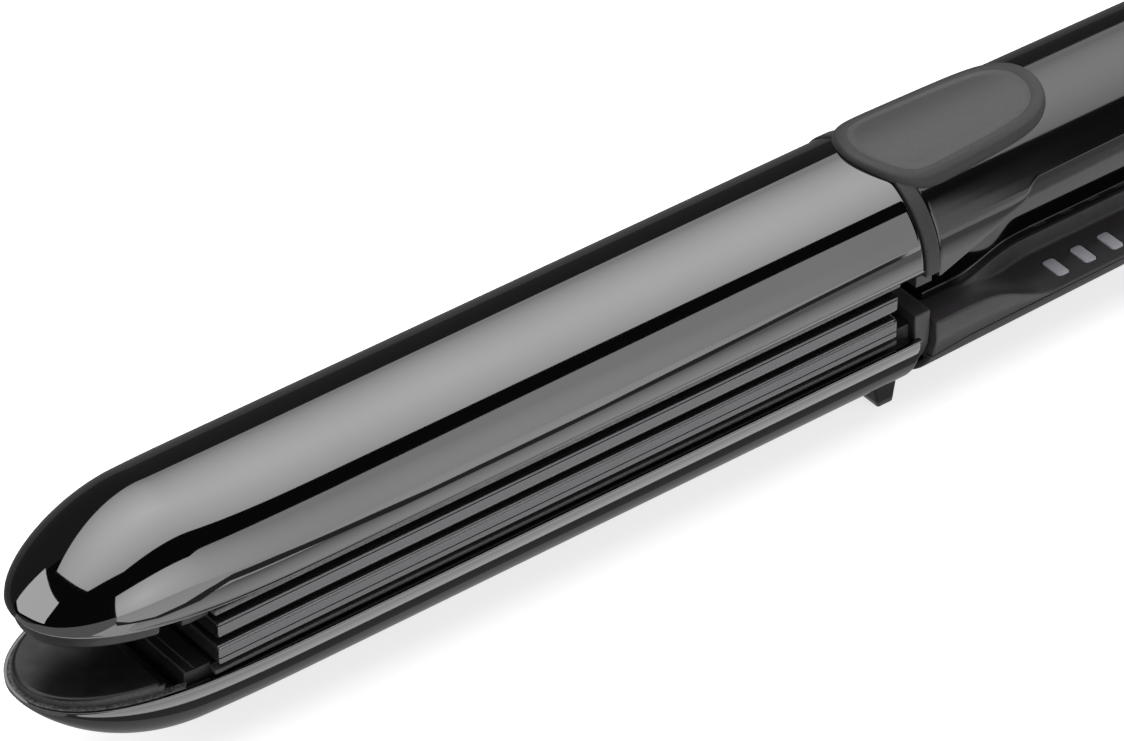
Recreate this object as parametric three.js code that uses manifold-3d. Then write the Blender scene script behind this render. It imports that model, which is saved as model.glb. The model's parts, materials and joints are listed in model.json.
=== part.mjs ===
// Hair straightener with two half-round barrels, closed and locked.
//
// Millimetres, +Z up. While it is being made, x runs from the nose (0) to the cord inlet,
// y is the width, and z = 0 is the plane where the two arms meet. The finished group is moved
// so that the middle of its footprint is the origin and its rest foot stands on z = 0.
// Most pieces come in pairs: side = 1 makes the upper arm's, side = -1 its mirror image below.

import * as THREE from 'three';
import { mergeVertices } from 'three/addons/utils/BufferGeometryUtils.js';
import Module from 'manifold-3d';

const wasm = await Module();
wasm.setup();

const clearance = 0.3; // between pieces that touch
const overlap = 0.1; // how far joined solids enter each other
const overrun = 1; // how far a cutting form runs past the piece
const beyond = 40; // reaches past the whole part, for cuts

// Barrel: two domed shells whose rims face each other
const barrelHalfWidth = 14.5;
const rimHeight = 6.6; // from the meeting plane to each shell's rim
const domeRise = 12.5; // from the rim to the top of the dome
const shellWall = 0.9;

// Nose of the barrel: how its width and its height grow with the distance from the tip
const nosePlanLength = 52;
const nosePlanPower = 4.14;
const nosePlanFullness = 2.11;
const noseRiseLength = 22.5;
const noseRisePower = 1.84;
const noseRiseFullness = 1.13;
const noseRimLift = 0.7; // the rims part a little more at the tip
const noseRimLiftLength = 45;
const noseTipSetback = 0.15; // from the tip to the first ring, so that it isn't a point

// Plate carrier
const carrierStart = 18.7;
const carrierSideInset = 2.3; // side insets are measured from the barrel's side
const carrierHalfWidth = barrelHalfWidth - carrierSideInset;
const carrierEndBlock = 4.3;
const carrierRearBlock = 3.3;
const carrierFace = 4.2; // from the meeting plane to the end blocks' face
const carrierHeight = 6.2;
const carrierRoof = 1.0;
const carrierWall = 1.6;
const carrierFlangeThickness = 1.5;
const ledgeDepth = 0.3; // how far the ledge lies inside the rim

// Tip cap that closes the nose
const capFace = carrierFace;
const capInset = 1.6; // from the shell's outside to the cap's side
const capGap = 2.8; // from the cap's rear edge to the carrier
const capFlangeDepth = 0.9; // how far the cap's flange lies inside the rim
const capFlangeThickness = 1.4;

// Heating plate with its heater
const plateLength = 120;
const plateSideInset = 0.5;
const plateHalfWidth = barrelHalfWidth - plateSideInset;
const plateFace = 0.5; // from the meeting plane, so the plates are 1 mm apart when closed
const plateThickness = 3.2;
const plateEdgeRadius = 1.5;
const plateTravel = 0.8;
const plateRailSideInset = 8.3;
const plateRailInner = barrelHalfWidth - plateRailSideInset;
const plateRailThickness = 1.2;
const plateRailHeight = 2.9;
const plateRailEndGap = 6.7;
const heaterSideGap = 1.2; // between the heater and the plate's rails
const heaterHalfWidth = plateRailInner - heaterSideGap;
const heaterThickness = 1.6;
const heaterEndGap = 10.5; // from each end of the plate
const clampOverhang = 0.7; // sideways over the heater
const clampEndOverhang = 2;
const clampThickness = 0.6;
const sensorLength = 3.4;
const sensorHalfWidth = 1.5;
const fuseRadius = 1.1;
const fuseLength = 12;
const floatSpringLength = 16;
const floatSpringHalfWidth = 3;
const floatSpringThickness = 0.4;
const floatSpringSteps = 12;
const floatSpringInset = 25; // from each end of the plate to its spring's middle
const shieldSideInset = 5.5;
const shieldHalfWidth = barrelHalfWidth - shieldSideInset;
const shieldThickness = 0.6;

const plateStart = carrierStart + carrierEndBlock + clearance;
const plateEnd = plateStart + plateLength;
const carrierRear = plateEnd + clearance + carrierRearBlock;
const barrelEnd = carrierRear + 2 * clearance;

// Joint between barrel and handle
const couplerThickness = 3.0;
const couplerInset = 1.9;
const couplerLipInset = 1.3;
const couplerLipFace = 2.6;
const couplerLipHeight = 2;
const couplerTongueLength = 10.5;
const couplerTongueHalfWidth = 7;
const couplerTongueHeight = 3;
const upperTongueFoot = 10.2;
const lowerTongueFoot = 8.2;
const lowerCouplerInset = 1.3;

const handleStart = barrelEnd + couplerThickness;

// Rubber collar strap in one piece with the thumb pad
const strapProud = 0.3;
const strapThickness = 1.9;
const strapFoot = 5.0;
const padOverlap = 6.2; // how far the pad reaches over the barrel, from the handle's front
const padReach = 28.9; // how far it reaches over the handle
const padSideInset = 4.9;
const padHalfWidth = barrelHalfWidth - padSideInset;
const padTaper = 0.8; // how much narrower its rear is, on each side
const padRearHalfWidth = padHalfWidth - padTaper;
const padProud = 1.0;
const padCornerShare = 0.24; // share of the pad's length that each rounded end takes
const padFrontLead = 0.11; // where the front's curve is steered, as shares of length and width
const padFrontBulge = 0.5;
const padRearLead = 0.07;
const padRearBulge = 0.62;

// Handle: how its outside tapers along x
const handleWidthTaper = 0.012; // half width lost per millimetre of length
const upperTopTaper = 0.011;
const lowerBottomTaper = 0.016;
const coverWall = 1.1;
const housingWall = 1.2;

// Edge of the upper cover: low at the strap, a ramp, a step up, then level
const coverEdgeAtStrap = 3.9;
const coverRampLength = 15.5;
const coverEdgeAtRampEnd = 9.3;
const coverStepLength = 4.4;
const coverEdgeLevel = 11.9;
const coverEdgeAtHinge = 4.0;
const upperHousingFace = 8.4;
const upperTongueHeight = 1.8;

// Lower housing: a neck at the barrel, then a floor with a raised spine
const seamAtStart = 11.3;
const seamLevel = 10.4;
const seamRampLength = 7.5;
const neckTop = 4.75;
const neckWallLean = 0.3;
const neckWallLength = 9.5;
const neckWallDropLength = 15;
const floorDepth = 9.85;
const neckFloorLength = 6.5;
const floorDropLength = 16;
const spineTop = 7.1;
const spineDropLength = 19;
const spineNeckSideInset = 5.3;
const spineNeckHalfWidth = barrelHalfWidth - spineNeckSideInset;
const spineHalfWidth = 4.0;
const spineShoulder = 0.5;
const sideStep = 0.1; // least height of the housing's side over the seam
const tongueDepth = 1.0;
const tongueThickness = 0.8;

// Finger gap between the handles, closed in front of the hinge
const gripLength = 74;
const gapClosingLength = 18;
const meetingGap = 0.3;

const coverRampEnd = handleStart + coverRampLength;
const coverStepEnd = coverRampEnd + coverStepLength;
const seamRampEnd = handleStart + seamRampLength;
const neckWallStart = handleStart + neckWallLength;
const neckWallEnd = neckWallStart + neckWallDropLength;
const floorRampStart = handleStart + neckFloorLength;
const floorRampEnd = floorRampStart + floorDropLength;
const spineRampEnd = floorRampStart + spineDropLength;
const gapEnd = spineRampEnd + gripLength;
const gapClosed = gapEnd + gapClosingLength;

// Hinge
const hingeSetback = 16; // from the end of the finger gap
const knuckleRadius = 7;
const knuckleGap = 0.5;
const upperKnuckleHalfWidth = 5.4;
const knuckleSideInset = 3.1;
const lowerKnuckleWidth =
  barrelHalfWidth - knuckleSideInset - upperKnuckleHalfWidth - knuckleGap;
const pinRadius = 2;
const pinEndRecess = 0.3;
const springChamberRadius = 3.9;
const springChamberHalfWidth = 3.6;
const hingeSpringRadius = 2.9;
const hingeSpringWire = 0.4;
const hingeSpringTurns = 5;
const stepsPerTurn = 8;
const lugHeight = 6;

const hingeX = gapClosed + hingeSetback;

// Rear ends of the two arms
const armEndGap = 1; // from the lower knuckle to the upper arm's end
const upperRoundingLength = 28;
const upperRoundingDrop = 8;
const upperSpringDrop = 4;
const tailGap = 1.5; // from the lower knuckle to the tail cap
const tailLength = 17.5;
const tailTop = 8.8;
const tailTopDrop = 3.5;
const tailWall = 1.2;
const tailSpring = 1;
const tailRoundingLength = 48;
const tailRoundingRise = 6;
const tailSpringRise = 3;
const tailNarrowing = 0.35;

const upperHandleEnd = hingeX - knuckleRadius - armEndGap;
const upperRoundingStart = upperHandleEnd - upperRoundingLength;
const tailStart = hingeX + knuckleRadius + tailGap;
const tailEnd = tailStart + tailLength;
const tailRoundingStart = tailEnd - tailRoundingLength;

// Lock slider and cord inlet
const lockChannelFloor = 5.8;
const lockChannelSideInset = 10.2;
const lockChannelHalfWidth = barrelHalfWidth - lockChannelSideInset;
const lockSetback = 1.3; // from the tail cap's front to the channel
const lockLength = 6.5;
const lockHeight = 3.0;
const lockTravel = 4;
const lockStemHalfWidth = 1.5;
const lockStemLength = 4;
const lockStemDepth = 2.6;
const inletHeight = -1.5;
const bushThickness = 3.2;
const swivelNeckRadius = 4.4;
const swivelBoreRadius = 3.2;
const swivelFlangeRadius = 5.6;
const swivelFlangeThickness = 1.6;
const swivelCollarRadius = 5.4;
const swivelCollarLength = 6;
const swivelChamfer = 1;

// Controls
const panelThickness = 1.4;
const panelSetback = 1.5; // from the handle's front
const panelEndGap = 4; // from the end of the finger gap
const buttonRadius = 2.6;
const buttonClearance = 0.35;
const buttonProud = 0.8;
const buttonTravel = 0.5;
const firstButtonSetback = 28; // from the end of the spine's ramp
const buttonPitch = 12;
const buttonNames = ['power', 'plus', 'minus'];
const firstWindowSetback = 1.6; // from the end of the spine's ramp
const windowPitch = 5.27;
const windowSideInset = 5.5;
const windowRow = windowSideInset - barrelHalfWidth;
const windowLength = 3.9;
const windowWidth = 1.9;
const windowCorner = 0.6;
const windowRecess = 0.2;
const windowThickness = 1.35;
const windowCount = 5;
const boardLead = 1; // how far the board starts before the end of the spine's ramp
const boardEndMargin = 8; // behind the last button
const boardSideInset = 6.6;
const boardHalfWidth = barrelHalfWidth - boardSideInset;
const boardTop = 12.8;
const boardThickness = 1.2;
const boardPostRadius = 1.8;
const boardPostInset = 4;
const switchHalfWidth = 2.2;
const switchHeight = 1.6;
const lightStripSideInset = 4.5;
const lightStripWidth = 3.6;
const lightStripOuter = barrelHalfWidth - lightStripSideInset;
const lightStripInner = lightStripOuter - lightStripWidth;
const lightStripThickness = 0.8;

const firstButton = spineRampEnd + firstButtonSetback;
const buttonPlaces = buttonNames.map((_, i) => firstButton + i * buttonPitch);
const firstWindow = spineRampEnd + firstWindowSetback;
const boardStart = spineRampEnd - boardLead;
const boardEnd = buttonPlaces[buttonPlaces.length - 1] + boardEndMargin;

// Rest foot under the joint between barrel and handle
const footHalfLength = 7;
const footBottomWidth = 2.9;
const footTopWidth = 5.4;
const footBottom = 22.6;
const footHeight = 7.6;

// Screws and leads
const screwHeadRadius = 2.5;
const screwHeadHeight = 1.4;
const screwHeadEdge = 0.84; // height of the head's upright edge, under its cone
const screwHeadRecess = 0.1;
const screwShankRadius = 1.2;
const screwShankLength = 5;
const screwBossRadius = 3.6;
const screwSeatDepth = 1.9;
const upperBossHeight = 3.2;
const lowerScrewSetback = 14.5; // from the handle's front
const upperScrewSetback = 21.5;
const rearScrewOffset = 6; // from the end of the finger gap, to either side
const lowerScrewPlaces = [handleStart + lowerScrewSetback, gapEnd + rearScrewOffset];
const upperScrewPlaces = [handleStart + upperScrewSetback, gapEnd - rearScrewOffset];
const leadRadius = 1.0;
const leadGap = 0.6; // between a lead and the screws' bosses
const leadSpacing = screwBossRadius + leadGap + leadRadius; // from the middle to each lead
const leadSteps = 8;

// Fineness of the round shapes
const domeSegments = 16;
const noseSteps = 9;
const roundingSteps = 6;
const roundSegments = 16;
const screwSegments = 12;
const tubeSides = 6;
const tailSteps = 4;
const edgeSteps = 6; // round the plate's working edges

// Solids and boolean work

function solidOf(geometry) {
  geometry.deleteAttribute('normal');
  geometry.deleteAttribute('uv');
  const merged = mergeVertices(geometry, 1e-5);
  const vertProperties = Float32Array.from(merged.attributes.position.array);
  const triVerts = Uint32Array.from(merged.index.array);
  return new wasm.Manifold(new wasm.Mesh({ numProp: 3, vertProperties, triVerts }));
}

function geometryOf(solid) {
  const mesh = solid.getMesh();
  const geometry = new THREE.BufferGeometry();
  geometry.setAttribute('position', new THREE.BufferAttribute(mesh.vertProperties, 3));
  geometry.setIndex(new THREE.BufferAttribute(mesh.triVerts, 1));
  geometry.computeVertexNormals();
  return geometry;
}

function box([x0, x1], [y0, y1], [z0, z1]) {
  const geometry = new THREE.BoxGeometry(x1 - x0, y1 - y0, Math.abs(z1 - z0));
  geometry.translate((x0 + x1) / 2, (y0 + y1) / 2, (z0 + z1) / 2);
  return solidOf(geometry);
}

// A box that is symmetric in y and lies on the given side of the meeting plane.
function sideBox(side, xs, halfWidth, [z0, z1]) {
  return box(xs, [-halfWidth, halfWidth], side > 0 ? [z0, z1] : [-z1, -z0]);
}

function cylinderX(radius, [x0, x1], y, z) {
  const geometry = new THREE.CylinderGeometry(radius, radius, x1 - x0, roundSegments);
  geometry.rotateZ(Math.PI / 2);
  geometry.translate((x0 + x1) / 2, y, z);
  return solidOf(geometry);
}

function cylinderY(radius, x, [y0, y1], z, segments = roundSegments) {
  const geometry = new THREE.CylinderGeometry(radius, radius, y1 - y0, segments);
  geometry.translate(x, (y0 + y1) / 2, z);
  return solidOf(geometry);
}

function cylinderZ(radius, x, y, [z0, z1]) {
  const geometry = new THREE.CylinderGeometry(radius, radius, z1 - z0, roundSegments);
  geometry.rotateX(Math.PI / 2);
  geometry.translate(x, y, (z0 + z1) / 2);
  return solidOf(geometry);
}

// An outline drawn in x and z, carried through the width from y0 to y1.
function slab(outline, [y0, y1]) {
  const shape = new THREE.Shape(outline.map(([x, z]) => new THREE.Vector2(x, z)));
  const geometry = new THREE.ExtrudeGeometry(shape, { depth: y1 - y0, bevelEnabled: false });
  geometry.rotateX(Math.PI / 2);
  geometry.translate(0, y1, 0);
  return solidOf(geometry);
}

// A solid whose skin runs through a row of rings, each a list of [x, y, z] with the same count.
function loft(rings) {
  const count = rings[0].length;
  const index = [];
  for (let i = 0; i < rings.length - 1; i += 1) {
    for (let k = 0; k < count; k += 1) {
      const a = i * count + k;
      const b = i * count + ((k + 1) % count);
      index.push(a, b, b + count, a, b + count, a + count);
    }
  }
  const lastRing = (rings.length - 1) * count;
  index.push(...capOf(rings[0], 0, false), ...capOf(rings[rings.length - 1], lastRing, true));
  const geometry = new THREE.BufferGeometry();
  geometry.setAttribute('position', new THREE.Float32BufferAttribute(rings.flat(2), 3));
  geometry.setIndex(signedVolume(rings.flat(), index) < 0 ? flipped(index) : index);
  return solidOf(geometry);
}

// Triangles that close a ring, wound with its points or against them.
function capOf(ring, offset, along) {
  const contour = ring.map(([, y, z]) => new THREE.Vector2(y, z));
  const ringSign = Math.sign(THREE.ShapeUtils.area(contour));
  const faces = THREE.ShapeUtils.triangulateShape(contour.map((p) => p.clone()), []);
  return faces.flatMap((face) => {
    const sign = Math.sign(THREE.ShapeUtils.area(face.map((i) => contour[i])));
    const same = (sign === ringSign) === along;
    const [a, b, c] = face.map((i) => i + offset);
    return same ? [a, b, c] : [a, c, b];
  });
}

function signedVolume(points, index) {
  let volume = 0;
  for (let i = 0; i < index.length; i += 3) {
    const [a, b, c] = index.slice(i, i + 3).map((k) => new THREE.Vector3(...points[k]));
    volume += a.dot(b.cross(c));
  }
  return volume;
}

function flipped(index) {
  const result = [];
  for (let i = 0; i < index.length; i += 3) {
    result.push(index[i], index[i + 2], index[i + 1]);
  }
  return result;
}

function tube(points, radius, stepCount) {
  const section = new THREE.Shape();
  section.absarc(0, 0, radius, 0, 2 * Math.PI);
  const path = new THREE.CatmullRomCurve3(points.map((p) => new THREE.Vector3(...p)));
  const settings = {
    steps: stepCount,
    extrudePath: path,
    curveSegments: tubeSides / 2,
    bevelEnabled: false,
  };
  return solidOf(new THREE.ExtrudeGeometry(section, settings));
}

function steps(from, to, count) {
  return Array.from({ length: count + 1 }, (_, i) => from + ((to - from) * i) / count);
}

// Places along x: the stops, and between each two of them as many steps as the counts say.
function stations(stops, counts) {
  const inner = counts.flatMap((count, i) => steps(stops[i], stops[i + 1], count).slice(0, -1));
  return [...inner, stops[stops.length - 1]];
}

function clampUnit(value) {
  return Math.min(1, Math.max(0, value));
}

// 0 before from, 1 after to, smooth between.
function ease(x, from, to) {
  const t = clampUnit((x - from) / (to - from));
  return t * t * (3 - 2 * t);
}

function square(value) {
  return value * value;
}

// Forms of the two arms

// Share of the full width or height that the nose has reached at a distance from its tip.
function noseShare(distance, length, power, fullness) {
  const left = 1 - clampUnit(distance / length);
  return (1 - left ** power) ** (1 / fullness);
}

function rimLift(x) {
  return noseRimLift * square(1 - clampUnit(x / noseRimLiftLength));
}

// Points from one foot, up the side, over half an ellipse and down to the other foot.
function archRing(x, side, halfWidth, foot, spring, rise) {
  const arch = steps(0, Math.PI, domeSegments).map((angle) => [
    x,
    -halfWidth * Math.cos(angle),
    side * (spring + rise * Math.sin(angle)),
  ]);
  if (foot === spring) return arch;
  return [[x, -halfWidth, side * foot], ...arch, [x, halfWidth, side * foot]];
}

function barrelRing(x, side, inset, foot) {
  const distance = x - inset;
  const plan = noseShare(distance, nosePlanLength, nosePlanPower, nosePlanFullness);
  const height = noseShare(distance, noseRiseLength, noseRisePower, noseRiseFullness);
  const lift = rimLift(x);
  const spring = rimHeight + lift;
  const rise = (domeRise - inset) * height + lift;
  const width = (barrelHalfWidth - inset) * plan;
  return archRing(x, side, width, foot === 'rim' ? spring : foot, spring, rise);
}

// The barrel's whole form, smaller by the inset all round, down to the rim or to a given foot.
function barrelForm(side, inset, foot, end = barrelEnd) {
  const tip = inset + noseTipSetback;
  const nose = steps(0, 1, noseSteps).map((t) => tip + (nosePlanLength - tip) * t * t);
  return loft([...nose, end].map((x) => barrelRing(x, side, inset, foot)));
}

function handleHalfWidth(x) {
  const straight = barrelHalfWidth - handleWidthTaper * (x - barrelEnd);
  return straight * (1 - tailNarrowing * tailRounding(x));
}

function upperRounding(x) {
  return square(clampUnit((x - upperRoundingStart) / upperRoundingLength));
}

function tailRounding(x) {
  return square(clampUnit((x - tailRoundingStart) / tailRoundingLength));
}

function handleSpring(side, x) {
  if (side > 0) return rimHeight - upperSpringDrop * upperRounding(x);
  return rimHeight - tailSpringRise * tailRounding(x);
}

function handleOuter(side, x) {
  const full = rimHeight + domeRise;
  if (side > 0) {
    return full - upperTopTaper * (x - barrelEnd) - upperRoundingDrop * upperRounding(x);
  }
  return full - lowerBottomTaper * (x - barrelEnd) - tailRoundingRise * tailRounding(x);
}

function handleRing(side, x, inset, foot) {
  const spring = handleSpring(side, x);
  const rise = handleOuter(side, x) - spring - inset;
  return archRing(x, side, handleHalfWidth(x) - inset, foot, spring, rise);
}

function handleStations(side, [start, end]) {
  const rounding = side > 0 ? upperRoundingStart : tailRoundingStart;
  if (end <= rounding) return [start, end];
  if (start >= rounding) return steps(start, end, roundingSteps);
  return stations([start, rounding, end], [1, roundingSteps]);
}

function handleForm(side, span, inset, foot) {
  return loft(handleStations(side, span).map((x) => handleRing(side, x, inset, foot)));
}

// Lower edge of the upper cover along the handle.
function coverEdge(x) {
  const ramp = clampUnit((x - handleStart) / coverRampLength);
  const onRamp = coverEdgeAtStrap + (coverEdgeAtRampEnd - coverEdgeAtStrap) * ramp;
  const stepped = onRamp + (coverEdgeLevel - coverEdgeAtRampEnd) * ease(x, coverRampEnd, coverStepEnd);
  return stepped + (coverEdgeAtHinge - coverEdgeLevel) * ease(x, gapEnd, gapClosed);
}

// Face of the upper housing that looks into the finger gap.
function upperFace(x) {
  return upperHousingFace + (meetingGap - upperHousingFace) * ease(x, gapEnd, gapClosed);
}

// Depth of the line where the lower cover meets the lower housing.
function seamDepth(x) {
  return seamAtStart + (seamLevel - seamAtStart) * ease(x, handleStart, seamRampEnd);
}

// A depth of the lower housing that goes from its neck value to its handle value, and to the
// meeting plane in front of the hinge.
function lowerDepth(x, handleDepth, rampStart, rampEnd) {
  const open = neckTop + (handleDepth - neckTop) * ease(x, rampStart, rampEnd);
  return open + (meetingGap - open) * ease(x, gapEnd, gapClosed);
}

function wallDepth(x) {
  return lowerDepth(x, floorDepth, neckWallStart, neckWallEnd);
}

function floorDepthAt(x) {
  return lowerDepth(x, floorDepth, floorRampStart, floorRampEnd);
}

function spineDepth(x) {
  return lowerDepth(x, spineTop, floorRampStart, spineRampEnd);
}

function spineHalfWidthAt(x) {
  const open = ease(x, floorRampStart, spineRampEnd);
  return spineNeckHalfWidth + (spineHalfWidth - spineNeckHalfWidth) * open;
}

// Half width of the lower arm's outer form at a given depth.
function lowerHalfWidthAt(x, depth) {
  const spring = handleSpring(-1, x);
  const rise = handleOuter(-1, x) - spring;
  const up = Math.max(0, depth - spring) / rise;
  return handleHalfWidth(x) * Math.sqrt(1 - square(up));
}

// A region of x and z between two lines over the length, wide enough to cut anything.
function between(lineA, lineB, xs) {
  const there = xs.map((x) => [x, lineA(x)]);
  const back = xs.map((x) => [x, lineB(x)]).reverse();
  return slab([...there, ...back], [-beyond, beyond]);
}

// Pieces of the barrel, made once for each arm

function barrelShell(side) {
  const open = barrelForm(side, shellWall, 0, barrelEnd + overrun);
  return barrelForm(side, 0, 'rim').subtract(open);
}

function tipCap(side) {
  const ledge = rimHeight + capFlangeDepth;
  const roof = ledge + capFlangeThickness;
  const core = barrelForm(side, capInset, 0).intersect(
    sideBox(side, [0, carrierStart - capGap], barrelHalfWidth, [capFace, roof]),
  );
  const flange = barrelForm(side, shellWall + clearance, 0).intersect(
    sideBox(side, [0, carrierStart - clearance], barrelHalfWidth, [ledge, roof]),
  );
  return core.add(flange);
}

const carrierTop = carrierFace + carrierHeight;
const carrierWallFace = plateFace + plateThickness + plateTravel + clearance;

function plateCarrier(side) {
  const ledge = rimHeight + ledgeDepth;
  const span = [carrierStart, carrierRear];
  const inside = barrelForm(side, shellWall + clearance, 0);
  const flange = sideBox(side, span, barrelHalfWidth, [ledge, ledge + carrierFlangeThickness]);
  const body = sideBox(side, span, carrierHalfWidth, [carrierFace, carrierTop]);
  const plateBed = sideBox(
    side,
    [plateStart - clearance, plateEnd + clearance],
    barrelHalfWidth,
    [0, carrierWallFace],
  );
  const pocket = sideBox(
    side,
    [plateStart + carrierWall, plateEnd - carrierWall],
    carrierHalfWidth - carrierWall,
    [0, carrierTop - carrierRoof],
  );
  return body.add(flange).intersect(inside).subtract(plateBed).subtract(pocket);
}

// Plate: a long bar whose two working edges are rounded, with two rails on its back.
function heatingPlate(side) {
  const back = plateFace + plateThickness;
  const shape = new THREE.Shape();
  shape.moveTo(-plateHalfWidth, back);
  shape.lineTo(-plateHalfWidth, plateFace + plateEdgeRadius);
  const centre = plateHalfWidth - plateEdgeRadius;
  const level = plateFace + plateEdgeRadius;
  shape.absarc(-centre, level, plateEdgeRadius, Math.PI, 1.5 * Math.PI, false);
  shape.absarc(centre, level, plateEdgeRadius, 1.5 * Math.PI, 2 * Math.PI, false);
  shape.lineTo(plateHalfWidth, back);
  const settings = { depth: plateLength, bevelEnabled: false, curveSegments: edgeSteps };
  const geometry = new THREE.ExtrudeGeometry(shape, settings);
  geometry.rotateX(Math.PI / 2);
  geometry.rotateZ(Math.PI / 2);
  geometry.translate(plateStart, 0, 0);
  let plate = solidOf(geometry);
  const rail = [plateStart + plateRailEndGap, plateEnd - plateRailEndGap];
  for (const sign of [-1, 1]) {
    const ys = [sign * plateRailInner, sign * (plateRailInner + plateRailThickness)];
    ys.sort((a, b) => a - b);
    plate = plate.add(box(rail, ys, [back - overlap, back + plateRailHeight]));
  }
  return side > 0 ? plate : mirrored(plate);
}

function mirrored(solid) {
  return solid.mirror([0, 0, 1]);
}

const plateMiddle = (plateStart + plateEnd) / 2;
const heaterLength = plateLength - 2 * heaterEndGap;
const heaterFoot = plateFace + plateThickness + clearance;
const clampFoot = heaterFoot + heaterThickness + clearance;
const springFoot = clampFoot + clampThickness + clearance;
const springTop = carrierTop - carrierRoof - clearance;

function centred(length, middle = plateMiddle) {
  return [middle - length / 2, middle + length / 2];
}

function heater(side) {
  const zs = [heaterFoot, heaterFoot + heaterThickness];
  return sideBox(side, centred(heaterLength), heaterHalfWidth, zs);
}

function clampStrip(side) {
  const xs = centred(heaterLength + 2 * clampEndOverhang);
  const half = heaterHalfWidth + clampOverhang;
  return sideBox(side, xs, half, [clampFoot, clampFoot + clampThickness]);
}

function sensor(side) {
  const start = plateMiddle + heaterLength / 2 + clearance;
  const zs = [heaterFoot, clampFoot - clearance];
  return sideBox(side, [start, start + sensorLength], sensorHalfWidth, zs);
}

// Leaf spring: a thin strip bowed between the clamp strip and the carrier's roof.
function floatSpring(side, middle) {
  const half = floatSpringLength / 2;
  const bow = springTop - springFoot - floatSpringThickness;
  const xs = steps(-half, half, floatSpringSteps);
  const height = (x) => springFoot + bow * (1 - square(x / half));
  const under = xs.map((x) => [middle + x, height(x)]);
  const over = xs.map((x) => [middle + x, height(x) + floatSpringThickness]).reverse();
  const leaf = slab([...under, ...over], [-floatSpringHalfWidth, floatSpringHalfWidth]);
  return side > 0 ? leaf : mirrored(leaf);
}

function heatShield(side) {
  const foot = carrierTop + clearance;
  const xs = centred(plateLength - 2 * plateRailEndGap);
  return sideBox(side, xs, shieldHalfWidth, [foot, foot + shieldThickness]);
}

// Pieces between barrel and handle

const couplerStart = barrelEnd - clearance;

function bulkhead(side, inset) {
  const end = couplerStart + couplerThickness;
  return loft([couplerStart, end].map((x) => barrelRing(x, side, inset, couplerLipFace)));
}

function tongue(side, foot) {
  const start = couplerStart + couplerThickness - clearance;
  const xs = [start, start + couplerTongueLength];
  return sideBox(side, xs, couplerTongueHalfWidth, [foot, foot + couplerTongueHeight]);
}

function upperCoupler() {
  const end = couplerStart + couplerThickness;
  const top = couplerLipFace + couplerLipHeight;
  const span = [couplerStart - overrun, end + overrun];
  const hidden = sideBox(1, span, barrelHalfWidth, [0, top]);
  const lipHalfWidth = barrelHalfWidth - couplerLipInset;
  const lip = sideBox(1, [couplerStart, end], lipHalfWidth, [couplerLipFace, top]);
  return bulkhead(1, couplerInset).subtract(hidden).add(lip).add(tongue(1, upperTongueFoot));
}

function lowerCoupler() {
  return bulkhead(-1, lowerCouplerInset).add(tongue(-1, lowerTongueFoot));
}

// Plan of the thumb pad: a blunt front, nearly straight sides and a round rear end.
function padPlan() {
  const padFront = handleStart - padOverlap;
  const padEnd = handleStart + padReach;
  const length = padOverlap + padReach;
  const frontEnd = padFront + length * padCornerShare;
  const rearStart = padEnd - length * padCornerShare;
  const frontLead = padFront + length * padFrontLead;
  const rearLead = padEnd - length * padRearLead;
  const frontBulge = padHalfWidth * padFrontBulge;
  const rearBulge = padRearHalfWidth * padRearBulge;
  const shape = new THREE.Shape();
  shape.moveTo(padFront, 0);
  shape.bezierCurveTo(padFront, frontBulge, frontLead, padHalfWidth, frontEnd, padHalfWidth);
  shape.lineTo(rearStart, padRearHalfWidth);
  shape.bezierCurveTo(rearLead, padRearHalfWidth, padEnd, rearBulge, padEnd, 0);
  shape.bezierCurveTo(padEnd, -rearBulge, rearLead, -padRearHalfWidth, rearStart, -padRearHalfWidth);
  shape.lineTo(frontEnd, -padHalfWidth);
  shape.bezierCurveTo(frontLead, -padHalfWidth, padFront, -frontBulge, padFront, 0);
  return shape;
}

function gripCollar() {
  const strapStart = barrelEnd + clearance;
  const strapEnd = handleStart - clearance / 2;
  const ring = (inset) => loft([strapStart, strapEnd].map((x) => (
    handleRing(1, x, inset, strapFoot)
  )));
  const inside = loft([strapStart - overrun, strapEnd + overrun].map((x) => (
    handleRing(1, x, strapThickness - strapProud, 0)
  )));
  const strap = ring(-strapProud).subtract(inside);
  const root = ring(-padProud / 2).subtract(inside);
  const prism = new THREE.ExtrudeGeometry(padPlan(), {
    depth: domeRise + padProud,
    bevelEnabled: false,
    curveSegments: 8,
  });
  prism.translate(0, 0, rimHeight + padProud);
  const span = [handleStart - padOverlap - overrun, handleStart + padReach + overrun];
  const skin = handleForm(1, span, -padProud, strapFoot);
  const under = handleForm(1, span, -clearance, 0);
  const pad = solidOf(prism);
  return pad.intersect(skin).subtract(under).add(pad.intersect(root)).add(strap);
}

// Handle pieces

// Stations that follow the cover's edge, and further on the closing of the finger gap.
function edgeStations([start, end]) {
  const stops = [start, handleStart, coverRampEnd, coverStepEnd, gapEnd, gapClosed, end];
  return stations(stops, [1, 1, 3, 1, 5, 1]);
}

const upperCoverRear = upperHandleEnd - coverWall;
const upperHousingRear = upperCoverRear - clearance;

function knuckleLug(grow) {
  const half = upperKnuckleHalfWidth + grow;
  return box([gapClosed, hingeX], [-half, half], [meetingGap, meetingGap + lugHeight + grow]);
}

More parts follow.
